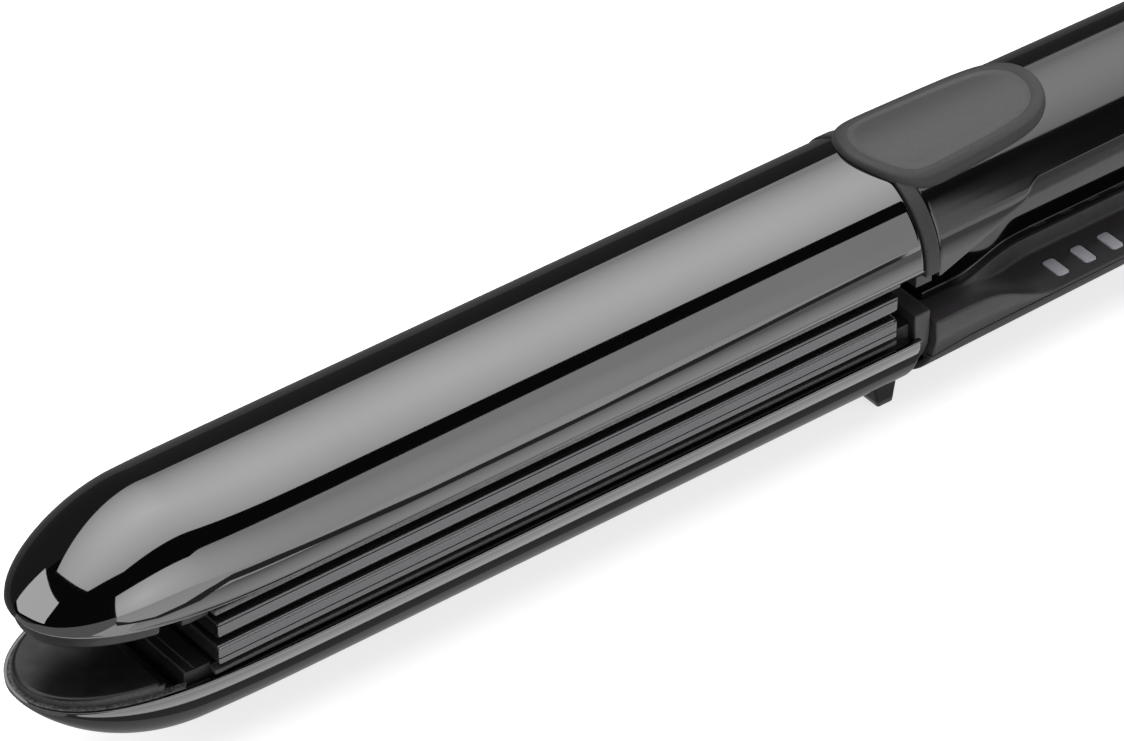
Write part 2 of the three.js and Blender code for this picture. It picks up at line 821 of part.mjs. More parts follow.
function upperHandleCover() {
  const span = [handleStart, upperHandleEnd];
  const hollow = handleForm(1, [handleStart - overrun, upperCoverRear], coverWall, meetingGap);
  const xs = edgeStations([handleStart - overrun, upperHandleEnd + overrun]);
  const kept = between(coverEdge, () => beyond, xs);
  let cover = handleForm(1, span, 0, meetingGap * 2).subtract(hollow).intersect(kept);
  cover = cover.subtract(knuckleLug(clearance));
  for (const x of upperScrewPlaces) {
    const foot = upperHousingFace + upperBossHeight + clearance;
    const roof = handleOuter(1, x) - coverWall / 2;
    cover = cover.add(cylinderZ(screwBossRadius, x, 0, [foot, roof]));
    const zs = [foot - overrun, foot + screwShankLength];
    const hole = cylinderZ(screwShankRadius + clearance, x, 0, zs);
    cover = cover.subtract(hole);
  }
  return cover;
}

function upperInnerHousing() {
  const inset = coverWall + clearance;
  const span = [handleStart, upperHousingRear];
  const xs = edgeStations([handleStart - overrun, upperHandleEnd + overrun]);
  const top = (x) => Math.max(coverEdge(x), upperFace(x) + housingWall) + upperTongueHeight;
  const wall = handleForm(1, span, inset, meetingGap).intersect(between(upperFace, top, xs));
  const hollow = handleForm(
    1,
    [handleStart - overrun, upperHousingRear - housingWall],
    inset + housingWall,
    0,
  ).intersect(between((x) => upperFace(x) + housingWall, () => beyond, xs));
  const knuckleSpan = [-upperKnuckleHalfWidth, upperKnuckleHalfWidth];
  const chamberSpan = [-springChamberHalfWidth, springChamberHalfWidth];
  let housing = wall.subtract(hollow);
  housing = housing.add(knuckleLug(0)).add(cylinderY(knuckleRadius, hingeX, knuckleSpan, 0));
  housing = housing.subtract(pinHole());
  housing = housing.subtract(cylinderY(springChamberRadius, hingeX, chamberSpan, 0));
  for (const x of upperScrewPlaces) {
    const pillar = [upperHousingFace + housingWall / 2, upperHousingFace + upperBossHeight];
    housing = housing.add(cylinderZ(screwBossRadius, x, 0, pillar));
    const head = [0, upperHousingFace + screwSeatDepth];
    housing = housing.subtract(cylinderZ(screwHeadRadius + clearance, x, 0, head));
    housing = housing.subtract(cylinderZ(screwShankRadius + clearance, x, 0, [0, beyond]));
  }
  return housing;
}

function pinHole() {
  return cylinderY(pinRadius + clearance, hingeX, [-beyond, beyond], 0);
}

function lowerHandleCover() {
  const span = [handleStart, tailEnd];
  const shell = handleForm(-1, span, 0, meetingGap / 2)
    .subtract(handleForm(-1, [handleStart - overrun, tailEnd + overrun], coverWall, 0));
  const seam = (x) => -(seamDepth(x) + clearance / 2);
  const stops = [handleStart - overrun, handleStart, seamRampEnd, tailStart];
  const belowSeam = between(seam, () => -beyond, stations(stops, [1, 4, 1]));
  const tailPart = box([tailStart - overlap, tailEnd + overrun], [-beyond, beyond], [-beyond, 0]);
  let cover = shell.intersect(belowSeam.add(tailPart));
  for (const x of lowerScrewPlaces) {
    const floor = handleOuter(-1, x);
    const seat = floor - screwHeadHeight - clearance;
    cover = cover.add(cylinderZ(screwBossRadius, x, 0, [coverWall / 2 - floor, -boardTop]));
    cover = cover.subtract(cylinderZ(screwHeadRadius + clearance, x, 0, [-beyond, -seat]));
    cover = cover.subtract(cylinderZ(screwShankRadius + clearance, x, 0, [-beyond, 0]));
  }
  return cover;
}

// Half width and depth of the lower housing's top at one station, from its side to its spine.
function lowerHousingRing(x, inset, bottom) {
  const seam = seamDepth(x) - clearance / 2;
  const wall = wallDepth(x);
  const floor = floorDepthAt(x);
  const spine = spineDepth(x);
  const spineY = spineHalfWidthAt(x) - inset;
  const half = [
    [lowerHalfWidthAt(x, seam) - inset, bottom],
    [lowerHalfWidthAt(x, seam) - inset, Math.max(seam, wall + inset + sideStep)],
    [lowerHalfWidthAt(x, wall) - neckWallLean - inset, wall + inset],
    [spineY + spineShoulder, floor + inset],
    [spineY, spine + inset],
  ];
  const left = half.map(([y, depth]) => [x, -y, -depth]);
  const right = half.map(([y, depth]) => [x, y, -depth]).reverse();
  return [...left, ...right];
}

const lowerHousingEnd = tailStart - clearance;

function lowerHousingForm([start, end], inset, bottom) {
  const stops = [start, floorRampStart, spineRampEnd, gapEnd, gapClosed, end];
  const xs = stations(stops, [2, 8, 1, 5, 1]);
  return loft(xs.map((x) => lowerHousingRing(x, inset, bottom)));
}

function lowerInnerHousing() {
  const span = [handleStart, lowerHousingEnd];
  const wider = [handleStart - overrun, lowerHousingEnd + overrun];
  const tongueInset = coverWall + clearance;
  const xs = stations([wider[0], handleStart, seamRampEnd, wider[1]], [1, 4, 1]);
  const aboveSeam = between(() => 0, (x) => clearance / 2 - seamDepth(x), xs);
  const aboveTongue = between(() => 0, (x) => -seamDepth(x) - tongueDepth, xs);
  const block = lowerHousingForm(span, 0, beyond);
  const inside = handleForm(-1, span, tongueInset, meetingGap / 2);
  const hollow = lowerHousingForm([wider[0], lowerHousingEnd - housingWall], housingWall, beyond + overrun)
    .intersect(handleForm(-1, wider, tongueInset + tongueThickness, meetingGap / 4));
  let housing = block.intersect(aboveSeam).add(block.intersect(inside).intersect(aboveTongue));
  housing = housing.subtract(hollow).add(hingePan()).subtract(hingeSlot());
  for (const ys of lowerKnuckleSpans()) {
    housing = housing.add(cylinderY(knuckleRadius, hingeX, ys, 0));
  }
  housing = housing.subtract(pinHole());
  for (const x of boardPostPlaces()) {
    const zs = [clearance - boardTop, -spineDepth(x) - housingWall / 2];
    housing = housing.add(cylinderZ(boardPostRadius, x, 0, zs));
  }
  for (const x of buttonPlaces) {
    housing = housing.subtract(cylinderZ(buttonRadius + buttonClearance, x, 0, [-beyond, 0]));
  }
  for (let i = 0; i < windowCount; i += 1) {
    housing = housing.subtract(windowPrism(i, clearance, [-beyond, 0]));
  }
  for (const x of lowerScrewPlaces) {
    const roof = -(spineDepth(x) + housingWall / 2);
    const tip = handleOuter(-1, x) - screwHeadHeight - screwShankLength - 2 * clearance;
    housing = housing.add(cylinderZ(screwBossRadius, x, 0, [clearance - boardTop, roof]));
    housing = housing.subtract(cylinderZ(screwShankRadius + clearance, x, 0, [-beyond, -tip]));
  }
  return housing;
}

// Room for the upper arm's knuckle, and the pan that closes it from below.
const slotHalfWidth = upperKnuckleHalfWidth + knuckleGap;
const slotDepth = knuckleRadius + knuckleGap;

function hingeSlot() {
  const span = [gapClosed, lowerHousingEnd - housingWall];
  return box(span, [-slotHalfWidth, slotHalfWidth], [-slotDepth, beyond]);
}

function hingePan() {
  const half = slotHalfWidth + housingWall;
  const span = [gapClosed - housingWall, lowerHousingEnd];
  return box(span, [-half, half], [-slotDepth - housingWall, -meetingGap]);
}

function lowerKnuckleOuter() {
  return slotHalfWidth + lowerKnuckleWidth;
}

function lowerKnuckleSpans() {
  return [[-lowerKnuckleOuter(), -slotHalfWidth], [slotHalfWidth, lowerKnuckleOuter()]];
}

// Controls

function boardPostPlaces() {
  return [boardStart + boardPostInset, firstButton - buttonPitch / 2, boardEnd - boardPostInset];
}

function windowPrism(i, grow, zs) {
  const x = firstWindow + i * windowPitch;
  const halfX = windowWidth / 2 + grow;
  const halfY = windowLength / 2 + grow;
  const r = windowCorner;
  const shape = new THREE.Shape();
  shape.moveTo(x - halfX + r, windowRow - halfY);
  shape.absarc(x + halfX - r, windowRow - halfY + r, r, -Math.PI / 2, 0, false);
  shape.absarc(x + halfX - r, windowRow + halfY - r, r, 0, Math.PI / 2, false);
  shape.absarc(x - halfX + r, windowRow + halfY - r, r, Math.PI / 2, Math.PI, false);
  shape.absarc(x - halfX + r, windowRow - halfY + r, r, Math.PI, 1.5 * Math.PI, false);
  const depth = zs[1] - zs[0];
  const geometry = new THREE.ExtrudeGeometry(shape, { depth, bevelEnabled: false, curveSegments: 1 });
  geometry.translate(0, 0, zs[0]);
  return solidOf(geometry);
}

// Glossy strip that follows the top of the spine from the neck to the end of the grip.
function controlPanel() {
  const stops = [handleStart + panelSetback, floorRampStart, spineRampEnd, gapEnd - panelEndGap];
  const xs = stations(stops, [1, 8, 1]);
  const ring = (x) => {
    const y = spineHalfWidthAt(x) - clearance;
    const foot = -spineDepth(x) + clearance;
    return [[x, -y, foot], [x, -y, foot + panelThickness], [x, y, foot + panelThickness], [x, y, foot]];
  };
  let panel = loft(xs.map(ring));
  for (const x of buttonPlaces) {
    panel = panel.subtract(cylinderZ(buttonRadius + buttonClearance, x, 0, [-beyond, 0]));
  }
  return panel;
}

const panelFace = -spineTop + clearance + panelThickness;
const switchTop = clearance - boardTop + switchHeight;
const buttonFoot = switchTop + clearance + buttonTravel;

function button(i) {
  return cylinderZ(buttonRadius, buttonPlaces[i], 0, [buttonFoot, panelFace + buttonProud]);
}

function tactSwitch(i) {
  const x = buttonPlaces[i];
  const ys = [-switchHalfWidth, switchHalfWidth];
  return box([x - switchHalfWidth, x + switchHalfWidth], ys, [clearance - boardTop, switchTop]);
}

function circuitBoard() {
  const zs = [-boardTop - boardThickness, -boardTop];
  return box([boardStart, boardEnd], [-boardHalfWidth, boardHalfWidth], zs);
}

function lightStrip() {
  const start = firstWindow - windowWidth;
  const end = firstWindow + (windowCount - 1) * windowPitch + windowWidth;
  const foot = clearance - boardTop;
  const ys = [-lightStripOuter, -lightStripInner];
  return box([start, end], ys, [foot, foot + lightStripThickness]);
}

// Hinge, lock and cord inlet

function hingePin() {
  const half = lowerKnuckleOuter() - pinEndRecess;
  return cylinderY(pinRadius, hingeX, [-half, half], 0);
}

function hingeSpring() {
  const half = springChamberHalfWidth - 2 * hingeSpringWire;
  const count = hingeSpringTurns * stepsPerTurn;
  const points = steps(0, 1, count).map((t) => {
    const angle = t * hingeSpringTurns * 2 * Math.PI;
    const x = hingeX + hingeSpringRadius * Math.cos(angle);
    return [x, -half + 2 * half * t, hingeSpringRadius * Math.sin(angle)];
  });
  return tube(points, hingeSpringWire, count);
}

function tailTopAt(x) {
  return tailTop - tailTopDrop * square((x - tailStart) / tailLength);
}

function tailForm(inset, foot, [start, end]) {
  return loft(steps(start, end, tailSteps).map((x) => {
    const rise = tailTopAt(x) - tailSpring - inset;
    return archRing(x, 1, handleHalfWidth(x) - inset, foot, tailSpring, rise);
  }));
}

function tailCap() {
  const foot = meetingGap / 2;
  const shell = tailForm(0, foot, [tailStart, tailEnd])
    .subtract(tailForm(tailWall, 0, [tailStart + tailWall, tailEnd + overrun]));
  const channelLength = lockLength + lockTravel + 2 * clearance;
  const channel = [lockChannelStart, lockChannelStart + channelLength];
  const floor = lockChannelFloor;
  const deck = box(
    [channel[0] - tailWall, channel[1] + tailWall],
    [-lockChannelHalfWidth - tailWall, lockChannelHalfWidth + tailWall],
    [floor - tailWall, floor + overlap],
  ).intersect(tailForm(tailWall / 2, foot, [tailStart + tailWall / 2, tailEnd]));
  const opening = box(channel, [-lockChannelHalfWidth, lockChannelHalfWidth], [floor, beyond]);
  const stem = lockStemHalfWidth + clearance;
  const half = lockStemLength / 2 + clearance;
  const slot = box([lockMiddle - half, lockMiddle + half + lockTravel], [-stem, stem], [0, beyond]);
  return shell.add(deck).subtract(opening).subtract(slot);
}

const lockChannelStart = tailStart + lockSetback;
const lockMiddle = lockChannelStart + clearance + lockLength / 2;

function lockSlider() {
  const foot = lockChannelFloor + clearance;
  const half = lockChannelHalfWidth - clearance;
  const cap = box(centred(lockLength, lockMiddle), [-half, half], [foot, foot + lockHeight]);
  const stemSpan = [-lockStemHalfWidth, lockStemHalfWidth];
  const stem = box(centred(lockStemLength, lockMiddle), stemSpan, [foot - lockStemDepth, foot + overlap]);
  return cap.add(stem);
}

// Plug that fills the tail's open end and carries the swivelling inlet.
function glandBush() {
  const span = [tailEnd - clearance - bushThickness, tailEnd - clearance];
  const inset = tailWall + clearance;
  const above = tailForm(inset, -overlap, span);
  const below = handleForm(-1, span, inset, -overlap);
  const boreSpan = [span[0] - overrun, span[1] + overrun];
  const bore = cylinderX(swivelNeckRadius + clearance, boreSpan, 0, inletHeight);
  return above.add(below).subtract(bore);
}

function cordSwivel() {
  const inner = tailEnd - 2 * clearance - bushThickness;
  const outer = tailEnd;
  const profile = [
    [swivelBoreRadius, inner - swivelFlangeThickness],
    [swivelFlangeRadius, inner - swivelFlangeThickness],
    [swivelFlangeRadius, inner],
    [swivelNeckRadius, inner],
    [swivelNeckRadius, outer],
    [swivelCollarRadius, outer],
    [swivelCollarRadius, outer + swivelCollarLength - swivelChamfer],
    [swivelCollarRadius - swivelChamfer, outer + swivelCollarLength],
    [swivelBoreRadius, outer + swivelCollarLength],
  ];
  const points = [...profile, profile[0]].map(([r, h]) => new THREE.Vector2(r, h));
  const geometry = new THREE.LatheGeometry(points, roundSegments);
  geometry.rotateZ(-Math.PI / 2);
  geometry.translate(0, 0, inletHeight);
  return solidOf(geometry);
}

// Foot, screws and leads

function restFoot() {
  const outline = [
    [barrelEnd - footBottomWidth / 2, -footBottom],
    [barrelEnd + footBottomWidth / 2, -footBottom],
    [barrelEnd + footTopWidth / 2, footHeight - footBottom],
    [barrelEnd - footTopWidth / 2, footHeight - footBottom],
  ];
  const bar = slab(outline, [-footHalfLength, footHalfLength]);
  const barrel = barrelForm(-1, -clearance, 0, barrelEnd + clearance);
  const joint = loft([couplerStart, handleStart + footTopWidth].map((x) => (
    barrelRing(x, -1, lowerCouplerInset - clearance, 0)
  )));
  const handleSpan = [handleStart - clearance, handleStart + footTopWidth];
  const handle = handleForm(-1, handleSpan, -clearance, 0);
  return bar.subtract(barrel).subtract(joint).subtract(handle);
}

function screw(x, z) {
  const profile = [
    [0, 0],
    [screwHeadRadius, 0],
    [screwHeadRadius, screwHeadEdge],
    [screwShankRadius, screwHeadHeight],
    [screwShankRadius, screwHeadHeight + screwShankLength],
    [0, screwHeadHeight + screwShankLength],
  ].map(([r, h]) => new THREE.Vector2(r, h));
  const geometry = new THREE.LatheGeometry(profile, screwSegments);
  geometry.rotateX(Math.PI / 2);
  geometry.translate(x, 0, z);
  return solidOf(geometry);
}

function lowerScrew(i) {
  const x = lowerScrewPlaces[i];
  return screw(x, screwHeadRecess - handleOuter(-1, x));
}

function upperScrew(i) {
  const seat = upperHousingFace + screwSeatDepth - clearance;
  return screw(upperScrewPlaces[i], seat - screwHeadHeight);
}

function heaterLead(side, sign, points) {
  const route = points.map(([x, z]) => [x, sign * leadSpacing, side * z]);
  return tube(route, leadRadius, points.length > 2 ? leadSteps : 1);
}

// Materials, one for each piece

const finishes = {
  shell: { color: 0x2b2d30, roughness: 0.12, metalness: 0.85 },
  plate: { color: 0x33353a, roughness: 0.22, metalness: 0.8 },
  blackMatte: { color: 0x1a1a1c, roughness: 0.6, metalness: 0 },
  carrier: { color: 0x4a474b, roughness: 0.55, metalness: 0 },
  rubber: { color: 0x47474a, roughness: 0.75, metalness: 0 },
  gloss: { color: 0x0b0a0d, roughness: 0.1, metalness: 0 },
  housing: { color: 0x48444a, roughness: 0.5, metalness: 0 },
  window: { color: 0xa2a2a9, roughness: 0.3, metalness: 0 },
  steel: { color: 0x9a9ca0, roughness: 0.35, metalness: 1 },
  ceramic: { color: 0xd8d4c8, roughness: 0.7, metalness: 0 },
  board: { color: 0x1f5a36, roughness: 0.5, metalness: 0 },
  shield: { color: 0xc9bfa2, roughness: 0.8, metalness: 0 },
  lead: { color: 0xb8b4ac, roughness: 0.6, metalness: 0 },
};

const straightener = new THREE.Group();

function place(name, finish, solid) {
  const mesh = new THREE.Mesh(geometryOf(solid), new THREE.MeshStandardMaterial(finishes[finish]));
  mesh.name = name;
  straightener.add(mesh);
}

for (const [arm, side] of [['upper', 1], ['lower', -1]]) {
  place(`${arm}_barrel_shell`, 'shell', barrelShell(side));
  place(`${arm}_tip_cap`, 'blackMatte', tipCap(side));
  place(`${arm}_plate_carrier`, 'carrier', plateCarrier(side));
  place(`${arm}_heating_plate`, 'plate', heatingPlate(side));
  place(`${arm}_heater`, 'ceramic', heater(side));
  place(`${arm}_heater_clamp`, 'steel', clampStrip(side));
  place(`${arm}_temperature_sensor`, 'ceramic', sensor(side));
  const springOffset = plateLength / 2 - floatSpringInset;
  place(`${arm}_float_spring_front`, 'steel', floatSpring(side, plateMiddle - springOffset));
  place(`${arm}_float_spring_rear`, 'steel', floatSpring(side, plateMiddle + springOffset));
  place(`${arm}_heat_shield`, 'shield', heatShield(side));
}

const fuseZ = heaterFoot + fuseRadius;
const fuseY = plateRailInner + plateRailThickness + clearance + fuseRadius;
place('thermal_fuse', 'steel', cylinderX(fuseRadius, centred(fuseLength), fuseY, fuseZ));

place('upper_coupler', 'carrier', upperCoupler());
place('lower_coupler', 'carrier', lowerCoupler());
place('grip_collar', 'rubber', gripCollar());
place('upper_handle_cover', 'gloss', upperHandleCover());
place('upper_inner_housing', 'housing', upperInnerHousing());
place('lower_handle_cover', 'gloss', lowerHandleCover());
place('lower_inner_housing', 'housing', lowerInnerHousing());
place('rest_foot', 'blackMatte', restFoot());

place('control_panel', 'gloss', controlPanel());
buttonNames.forEach((name, i) => {
  place(`${name}_button`, 'gloss', button(i));
  place(`${name}_switch`, 'blackMatte', tactSwitch(i));
});
for (let i = 0; i < windowCount; i += 1) {
  const top = -floorDepth - windowRecess;
  place(`indicator_window_${i + 1}`, 'window', windowPrism(i, 0, [top - windowThickness, top]));
}
place('circuit_board', 'board', circuitBoard());
place('indicator_light_strip', 'window', lightStrip());

place('hinge_pin', 'steel', hingePin());
place('hinge_spring', 'steel', hingeSpring());
place('tail_cap', 'gloss', tailCap());
place('lock_slider', 'blackMatte', lockSlider());
place('gland_bush', 'blackMatte', glandBush());
place('cord_swivel', 'blackMatte', cordSwivel());

['front', 'rear'].forEach((name, i) => {
  place(`lower_cover_screw_${name}`, 'steel', lowerScrew(i));
  place(`upper_cover_screw_${name}`, 'steel', upperScrew(i));
});

// Leads leave the couplers' tongues: back to the hinge in the upper arm, and to the board below.
const leadStart = couplerStart + couplerThickness + couplerTongueLength;
const leadLift = housingWall + clearance + leadRadius;
const upperRoute = [leadStart, gapClosed - 3 * leadRadius].map((x) => [x, upperHousingFace + leadLift]);
const lowerRoute = [
  [leadStart, lowerTongueFoot + couplerTongueHeight / 2],
  [(leadStart + boardStart) / 2, boardTop - leadRadius],
  [boardStart - clearance, boardTop],
];
for (const [name, sign] of [['left', -1], ['right', 1]]) {
  place(`upper_heater_lead_${name}`, 'lead', heaterLead(1, sign, upperRoute));
  place(`lower_heater_lead_${name}`, 'lead', heaterLead(-1, sign, lowerRoute));
}

// The middle of the footprint becomes the origin, with the rest foot's sole at z = 0.
const bounds = new THREE.Box3().setFromObject(straightener);
const middle = bounds.getCenter(new THREE.Vector3());
straightener.position.set(-middle.x, -middle.y, -bounds.min.z);

const model = new THREE.Group();
model.add(straightener);

export default model;
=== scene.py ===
# %% [markdown]
# # A hair straightener, dressed for its portrait
#
# The CAD model gives the true sizes and the joints. This lesson builds finer surfaces around
# it: every form is a formula that numpy works out as a whole grid of points, and Blender only
# receives the result. All lengths are typed in millimetres from the nose of the barrel, with
# z = 0 on the plane where the two arms meet, and are changed to metres at the very end.

import json
import math

import bmesh
import bpy
import numpy as np
from mathutils import Matrix

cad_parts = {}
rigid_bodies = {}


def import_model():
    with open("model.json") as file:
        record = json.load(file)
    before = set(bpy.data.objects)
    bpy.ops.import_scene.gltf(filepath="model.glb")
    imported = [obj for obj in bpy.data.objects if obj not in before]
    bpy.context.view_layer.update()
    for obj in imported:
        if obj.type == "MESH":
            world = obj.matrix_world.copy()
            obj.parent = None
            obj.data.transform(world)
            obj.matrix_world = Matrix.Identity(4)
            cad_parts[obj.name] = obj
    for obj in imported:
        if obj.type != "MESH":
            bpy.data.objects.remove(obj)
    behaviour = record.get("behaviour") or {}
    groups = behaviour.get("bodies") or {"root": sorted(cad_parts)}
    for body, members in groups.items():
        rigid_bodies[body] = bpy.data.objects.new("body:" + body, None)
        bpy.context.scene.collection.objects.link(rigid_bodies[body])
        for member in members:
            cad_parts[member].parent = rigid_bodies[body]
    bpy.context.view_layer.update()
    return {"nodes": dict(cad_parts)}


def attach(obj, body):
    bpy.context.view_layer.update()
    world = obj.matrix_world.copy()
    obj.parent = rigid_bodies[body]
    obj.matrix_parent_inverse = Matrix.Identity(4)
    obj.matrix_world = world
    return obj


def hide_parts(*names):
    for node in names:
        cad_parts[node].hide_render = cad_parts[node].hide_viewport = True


scene = bpy.context.scene
for leftover in list(bpy.data.objects):
    bpy.data.objects.remove(leftover)
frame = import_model()
NOSE_TO_MIDDLE = 158.075
SOLE_TO_MEETING = 22.6
MM = 0.001
WELD = 0.004

# %% [markdown]
# ## From grids to meshes
#
# A grid of points becomes quads by joining each point with its neighbours. Several grids that
# share their borders are welded into one closed skin. Welding also collapses the quads at a
# pole, where a whole row of points is in one place.


# %% Mesh helpers
def grid_quads(rows, columns, wrap):
    """Corner numbers of all quads in a grid: (r, c), (r, c+1), (r+1, c+1), (r+1, c)."""
    r = np.arange(rows - 1)[:, None]
    c = np.arange(columns if wrap else columns - 1)[None, :]
    after = (c + 1) % columns
    here, next_row = r * columns, (r + 1) * columns
    corners = [here + c, here + after, next_row + after, next_row + c]
    return np.stack(np.broadcast_arrays(*corners), -1).reshape(-1, 4)


def to_row_frame(points):
    """Nose millimetres to row frame metres: subtract the middle, add the sole height, / 1000."""
    return (points - np.array([NOSE_TO_MIDDLE, 0.0, -SOLE_TO_MEETING])) * MM


def skin_mesh(name, patches):
    """One welded mesh from (grid, wrap) patches; a grid is rows x columns x 3 in millimetres."""
    points, quads, offset = [], [], 0
    for grid, wrap in patches:
        rows, columns = grid.shape[:2]
        points.append(grid.reshape(-1, 3))
        quads.append(grid_quads(rows, columns, wrap) + offset)
        offset += rows * columns
    mesh = bpy.data.meshes.new(name)
    mesh.from_pydata(to_row_frame(np.concatenate(points)), [], np.concatenate(quads))
    work = bmesh.new()
    work.from_mesh(mesh)
    bmesh.ops.remove_doubles(work, verts=work.verts, dist=WELD * MM)
    bmesh.ops.dissolve_degenerate(work, edges=work.edges, dist=WELD * MM / 2)
    bmesh.ops.recalc_face_normals(work, faces=work.faces)
    work.to_mesh(mesh)
    work.free()
    return mesh


def dress(piece, material, body, nodes, slot, sharp=32):
    """Gives a finished piece its shading, material and body; the slot is not used."""
    piece.data.materials.clear()
    piece.data.materials.append(material)
    piece.data.shade_smooth()
    piece.data.set_sharp_from_angle(angle=math.radians(sharp))
    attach(piece, body)
    if nodes:
        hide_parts(*nodes)
    return piece


def add_object(name, mesh):
    """An object at the origin that shows the mesh."""
    piece = bpy.data.objects.new(name, mesh)
    scene.collection.objects.link(piece)
    return piece


def add_skin(name, patches):
    """An object whose mesh is the welded skin of the patches."""
    return add_object(name, skin_mesh(name, patches))


def add_piece(name, patches, *look):
    """A new skin, dressed with the look: material, body, nodes, slot and sharp angle."""
    return dress(add_skin(name, patches), *look)


def loops_patches(loops):
    """Closed loops stacked into a skin, with a fan from the middle of the first and the last."""
    first = np.stack([np.broadcast_to(loops[0].mean(0), loops[0].shape), loops[0]])
    last = np.stack([loops[-1], np.broadcast_to(loops[-1].mean(0), loops[-1].shape)])
    return [(first, True), (loops, True), (last, True)]


def copy_of_node(node, name, bevel):
    """A welded copy of a CAD node with its edges rounded by a Bevel modifier."""
    piece = add_object(name, frame["nodes"][node].data.copy())
    work = bmesh.new()
    work.from_mesh(piece.data)
    bmesh.ops.remove_doubles(work, verts=work.verts, dist=2e-6)
    bmesh.ops.dissolve_limit(
        work, angle_limit=math.radians(1), verts=work.verts, edges=work.edges
    )
    work.to_mesh(piece.data)
    work.free()
    rounding = piece.modifiers.new("rounded edges", "BEVEL")
    rounding.width = bevel * MM
    rounding.segments = 3
    rounding.limit_method = "ANGLE"
    rounding.angle_limit = math.radians(40)
    rounding.harden_normals = True
    return piece


def add_mouldings(rows):
    """Rounded copies of CAD nodes, each dressed and standing for its node."""
    for node, body, material, slot, bevel in rows:
        piece = copy_of_node(node, f"{node}_moulding", bevel)
        dress(piece, material, body, [node], slot, 40)


def carve(piece, cutters):
    """Subtracts cutter objects from a piece with Boolean modifiers, then bakes the result."""
    for cutter in cutters:
        cut = piece.modifiers.new("cut", "BOOLEAN")
        cut.operation = "DIFFERENCE"
        cut.solver = "EXACT"
        cut.object = cutter
    bpy.context.view_layer.update()
    evaluated = piece.evaluated_get(bpy.context.evaluated_depsgraph_get())
    result = bpy.data.meshes.new_from_object(evaluated)
    piece.modifiers.clear()
    piece.data = result
    for cutter in cutters:
        bpy.data.objects.remove(cutter)
    return piece


# %% [markdown]
# ## The forms of the two arms
#
# Both arms have one section: a half ellipse on short upright sides. Along the length only its
# half width, its spring height and its rise change. At the nose, width and height grow with
# the distance d from the tip as (1 - (1 - d/L)^p)^(1/f), which is round in plan and more
# pointed from the side. PLAN_NOSE and RISE_NOSE hold L, p and f.

# %% Sizes of the barrel and the handle
ARMS = ((1, "upper", "upper_arm"), (-1, "lower", "lower_arm"))
BARREL_HALF_WIDTH = 14.5
RIM = 6.6
DOME = 12.5
BARREL_END = 147.5
# How far the tip lifts, how far it reaches forward, and how far the rim drops, by side
NOSE = {1: (0.7, 0.0, 0.4), -1: (0.0, 0.8, 0.6)}
HANDLE_START = 150.5
NECK_START = 157.0
NECK_END = 176.0
GAP_END = 250.0
GAP_CLOSED = 268.0
UPPER_END = 276.0
HINGE_X = 284.0
TAIL_START = 292.5
TAIL_END = 310.0
# Where each arm starts to round off and where it ends, and how far its spring sinks there
ROUNDING = {1: (248.0, UPPER_END), -1: (262.0, TAIL_END)}
SPRING_SINK = {1: 4, -1: 3}
TIP_REACH = 45.0
PLAN_NOSE = (52, 4.14, 2.11)
RISE_NOSE = (22.5, 1.84, 1.13)
WIDTH_TAPER = 0.012
CROWN_TAPER = {1: 0.011, -1: 0.016}
ARCH_POINTS = 97


def ease(x, start, end):
    """0 before start, 1 after end, and 3t^2 - 2t^3 between."""
    t = np.clip((x - start) / (end - start), 0, 1)
    return t * t * (3 - 2 * t)


def nose_share(distance, length, power, fullness):
    """Share of full size at a distance from the tip: (1 - (1 - d/L)^p)^(1/f)."""
    left = 1 - np.clip(distance / length, 0, 1)
    return (1 - left**power) ** (1 / fullness)


def towards_tip(x):
    """1 at the tip, falling to 0 as a square over the first 45 mm: (1 - x/45)^2."""
    return (1 - np.clip(x / TIP_REACH, 0, 1)) ** 2


def rounding(side, x):
    """Grows from 0 to 1 as a square over the arm's last 28 mm (upper) or 48 mm (lower)."""
    start, end = ROUNDING[side]
    return np.clip((x - start) / (end - start), 0, 1) ** 2


def half_width(x):
    """Half width of the handle: a slow taper, drawn in at the tail."""
    straight = BARREL_HALF_WIDTH - WIDTH_TAPER * (x - BARREL_END)
    return straight * (1 - 0.35 * rounding(-1, x))


def spring(side, x):
    """Height where the upright side turns into the ellipse."""
    return RIM - SPRING_SINK[side] * rounding(side, x)


def crown(side, x):
    """Height of the arm's outermost line, from the meeting plane."""
    straight = RIM + DOME - CROWN_TAPER[side] * (x - BARREL_END)
    return straight - 2 * SPRING_SINK[side] * rounding(side, x)


def arch(x, side, width, spring_at, rise, foot):
    """Arch over one station or many: the angle a runs from the left foot to the right one.
    y = -w cos a and z = spring + rise sin a over the ellipse; below it z falls straight, by
    the same angle, or faster where the rise is small."""
    x, width, spring_at, rise, foot = np.broadcast_arrays(x, width, spring_at, rise, foot)
    height = (foot - spring_at) / np.maximum(rise, 1e-3)
    fall = np.clip(-height, 1e-6, 0.6)
    start = np.where(height > 0, np.arcsin(np.clip(height, -1, 1)), -fall)
    t = np.concatenate([[0], np.linspace(0.022, 0.978, ARCH_POINTS - 2), [1]])[None, :]
    a = start[:, None] * (1 - 2 * t) + math.pi * t
    inside = np.clip(a, 0, math.pi)
    below = np.minimum(a, 0) + np.minimum(math.pi - a, 0)
    y = -width[:, None] * np.cos(inside)
    slope = np.maximum(spring_at - foot, 0) / fall
    z = spring_at[:, None] + rise[:, None] * np.sin(inside) + slope[:, None] * below
    return np.stack([np.broadcast_to(x[:, None], y.shape), y, side * z], -1)


def nose_place(side, distance, inset):
    """Place along the arm, lift of the tip there, and drop of the rim."""
    lift, reach, drop = NOSE[side]
    x = distance + inset * (1 - distance / BARREL_END)
    return x - reach * towards_tip(x), lift * towards_tip(x), drop


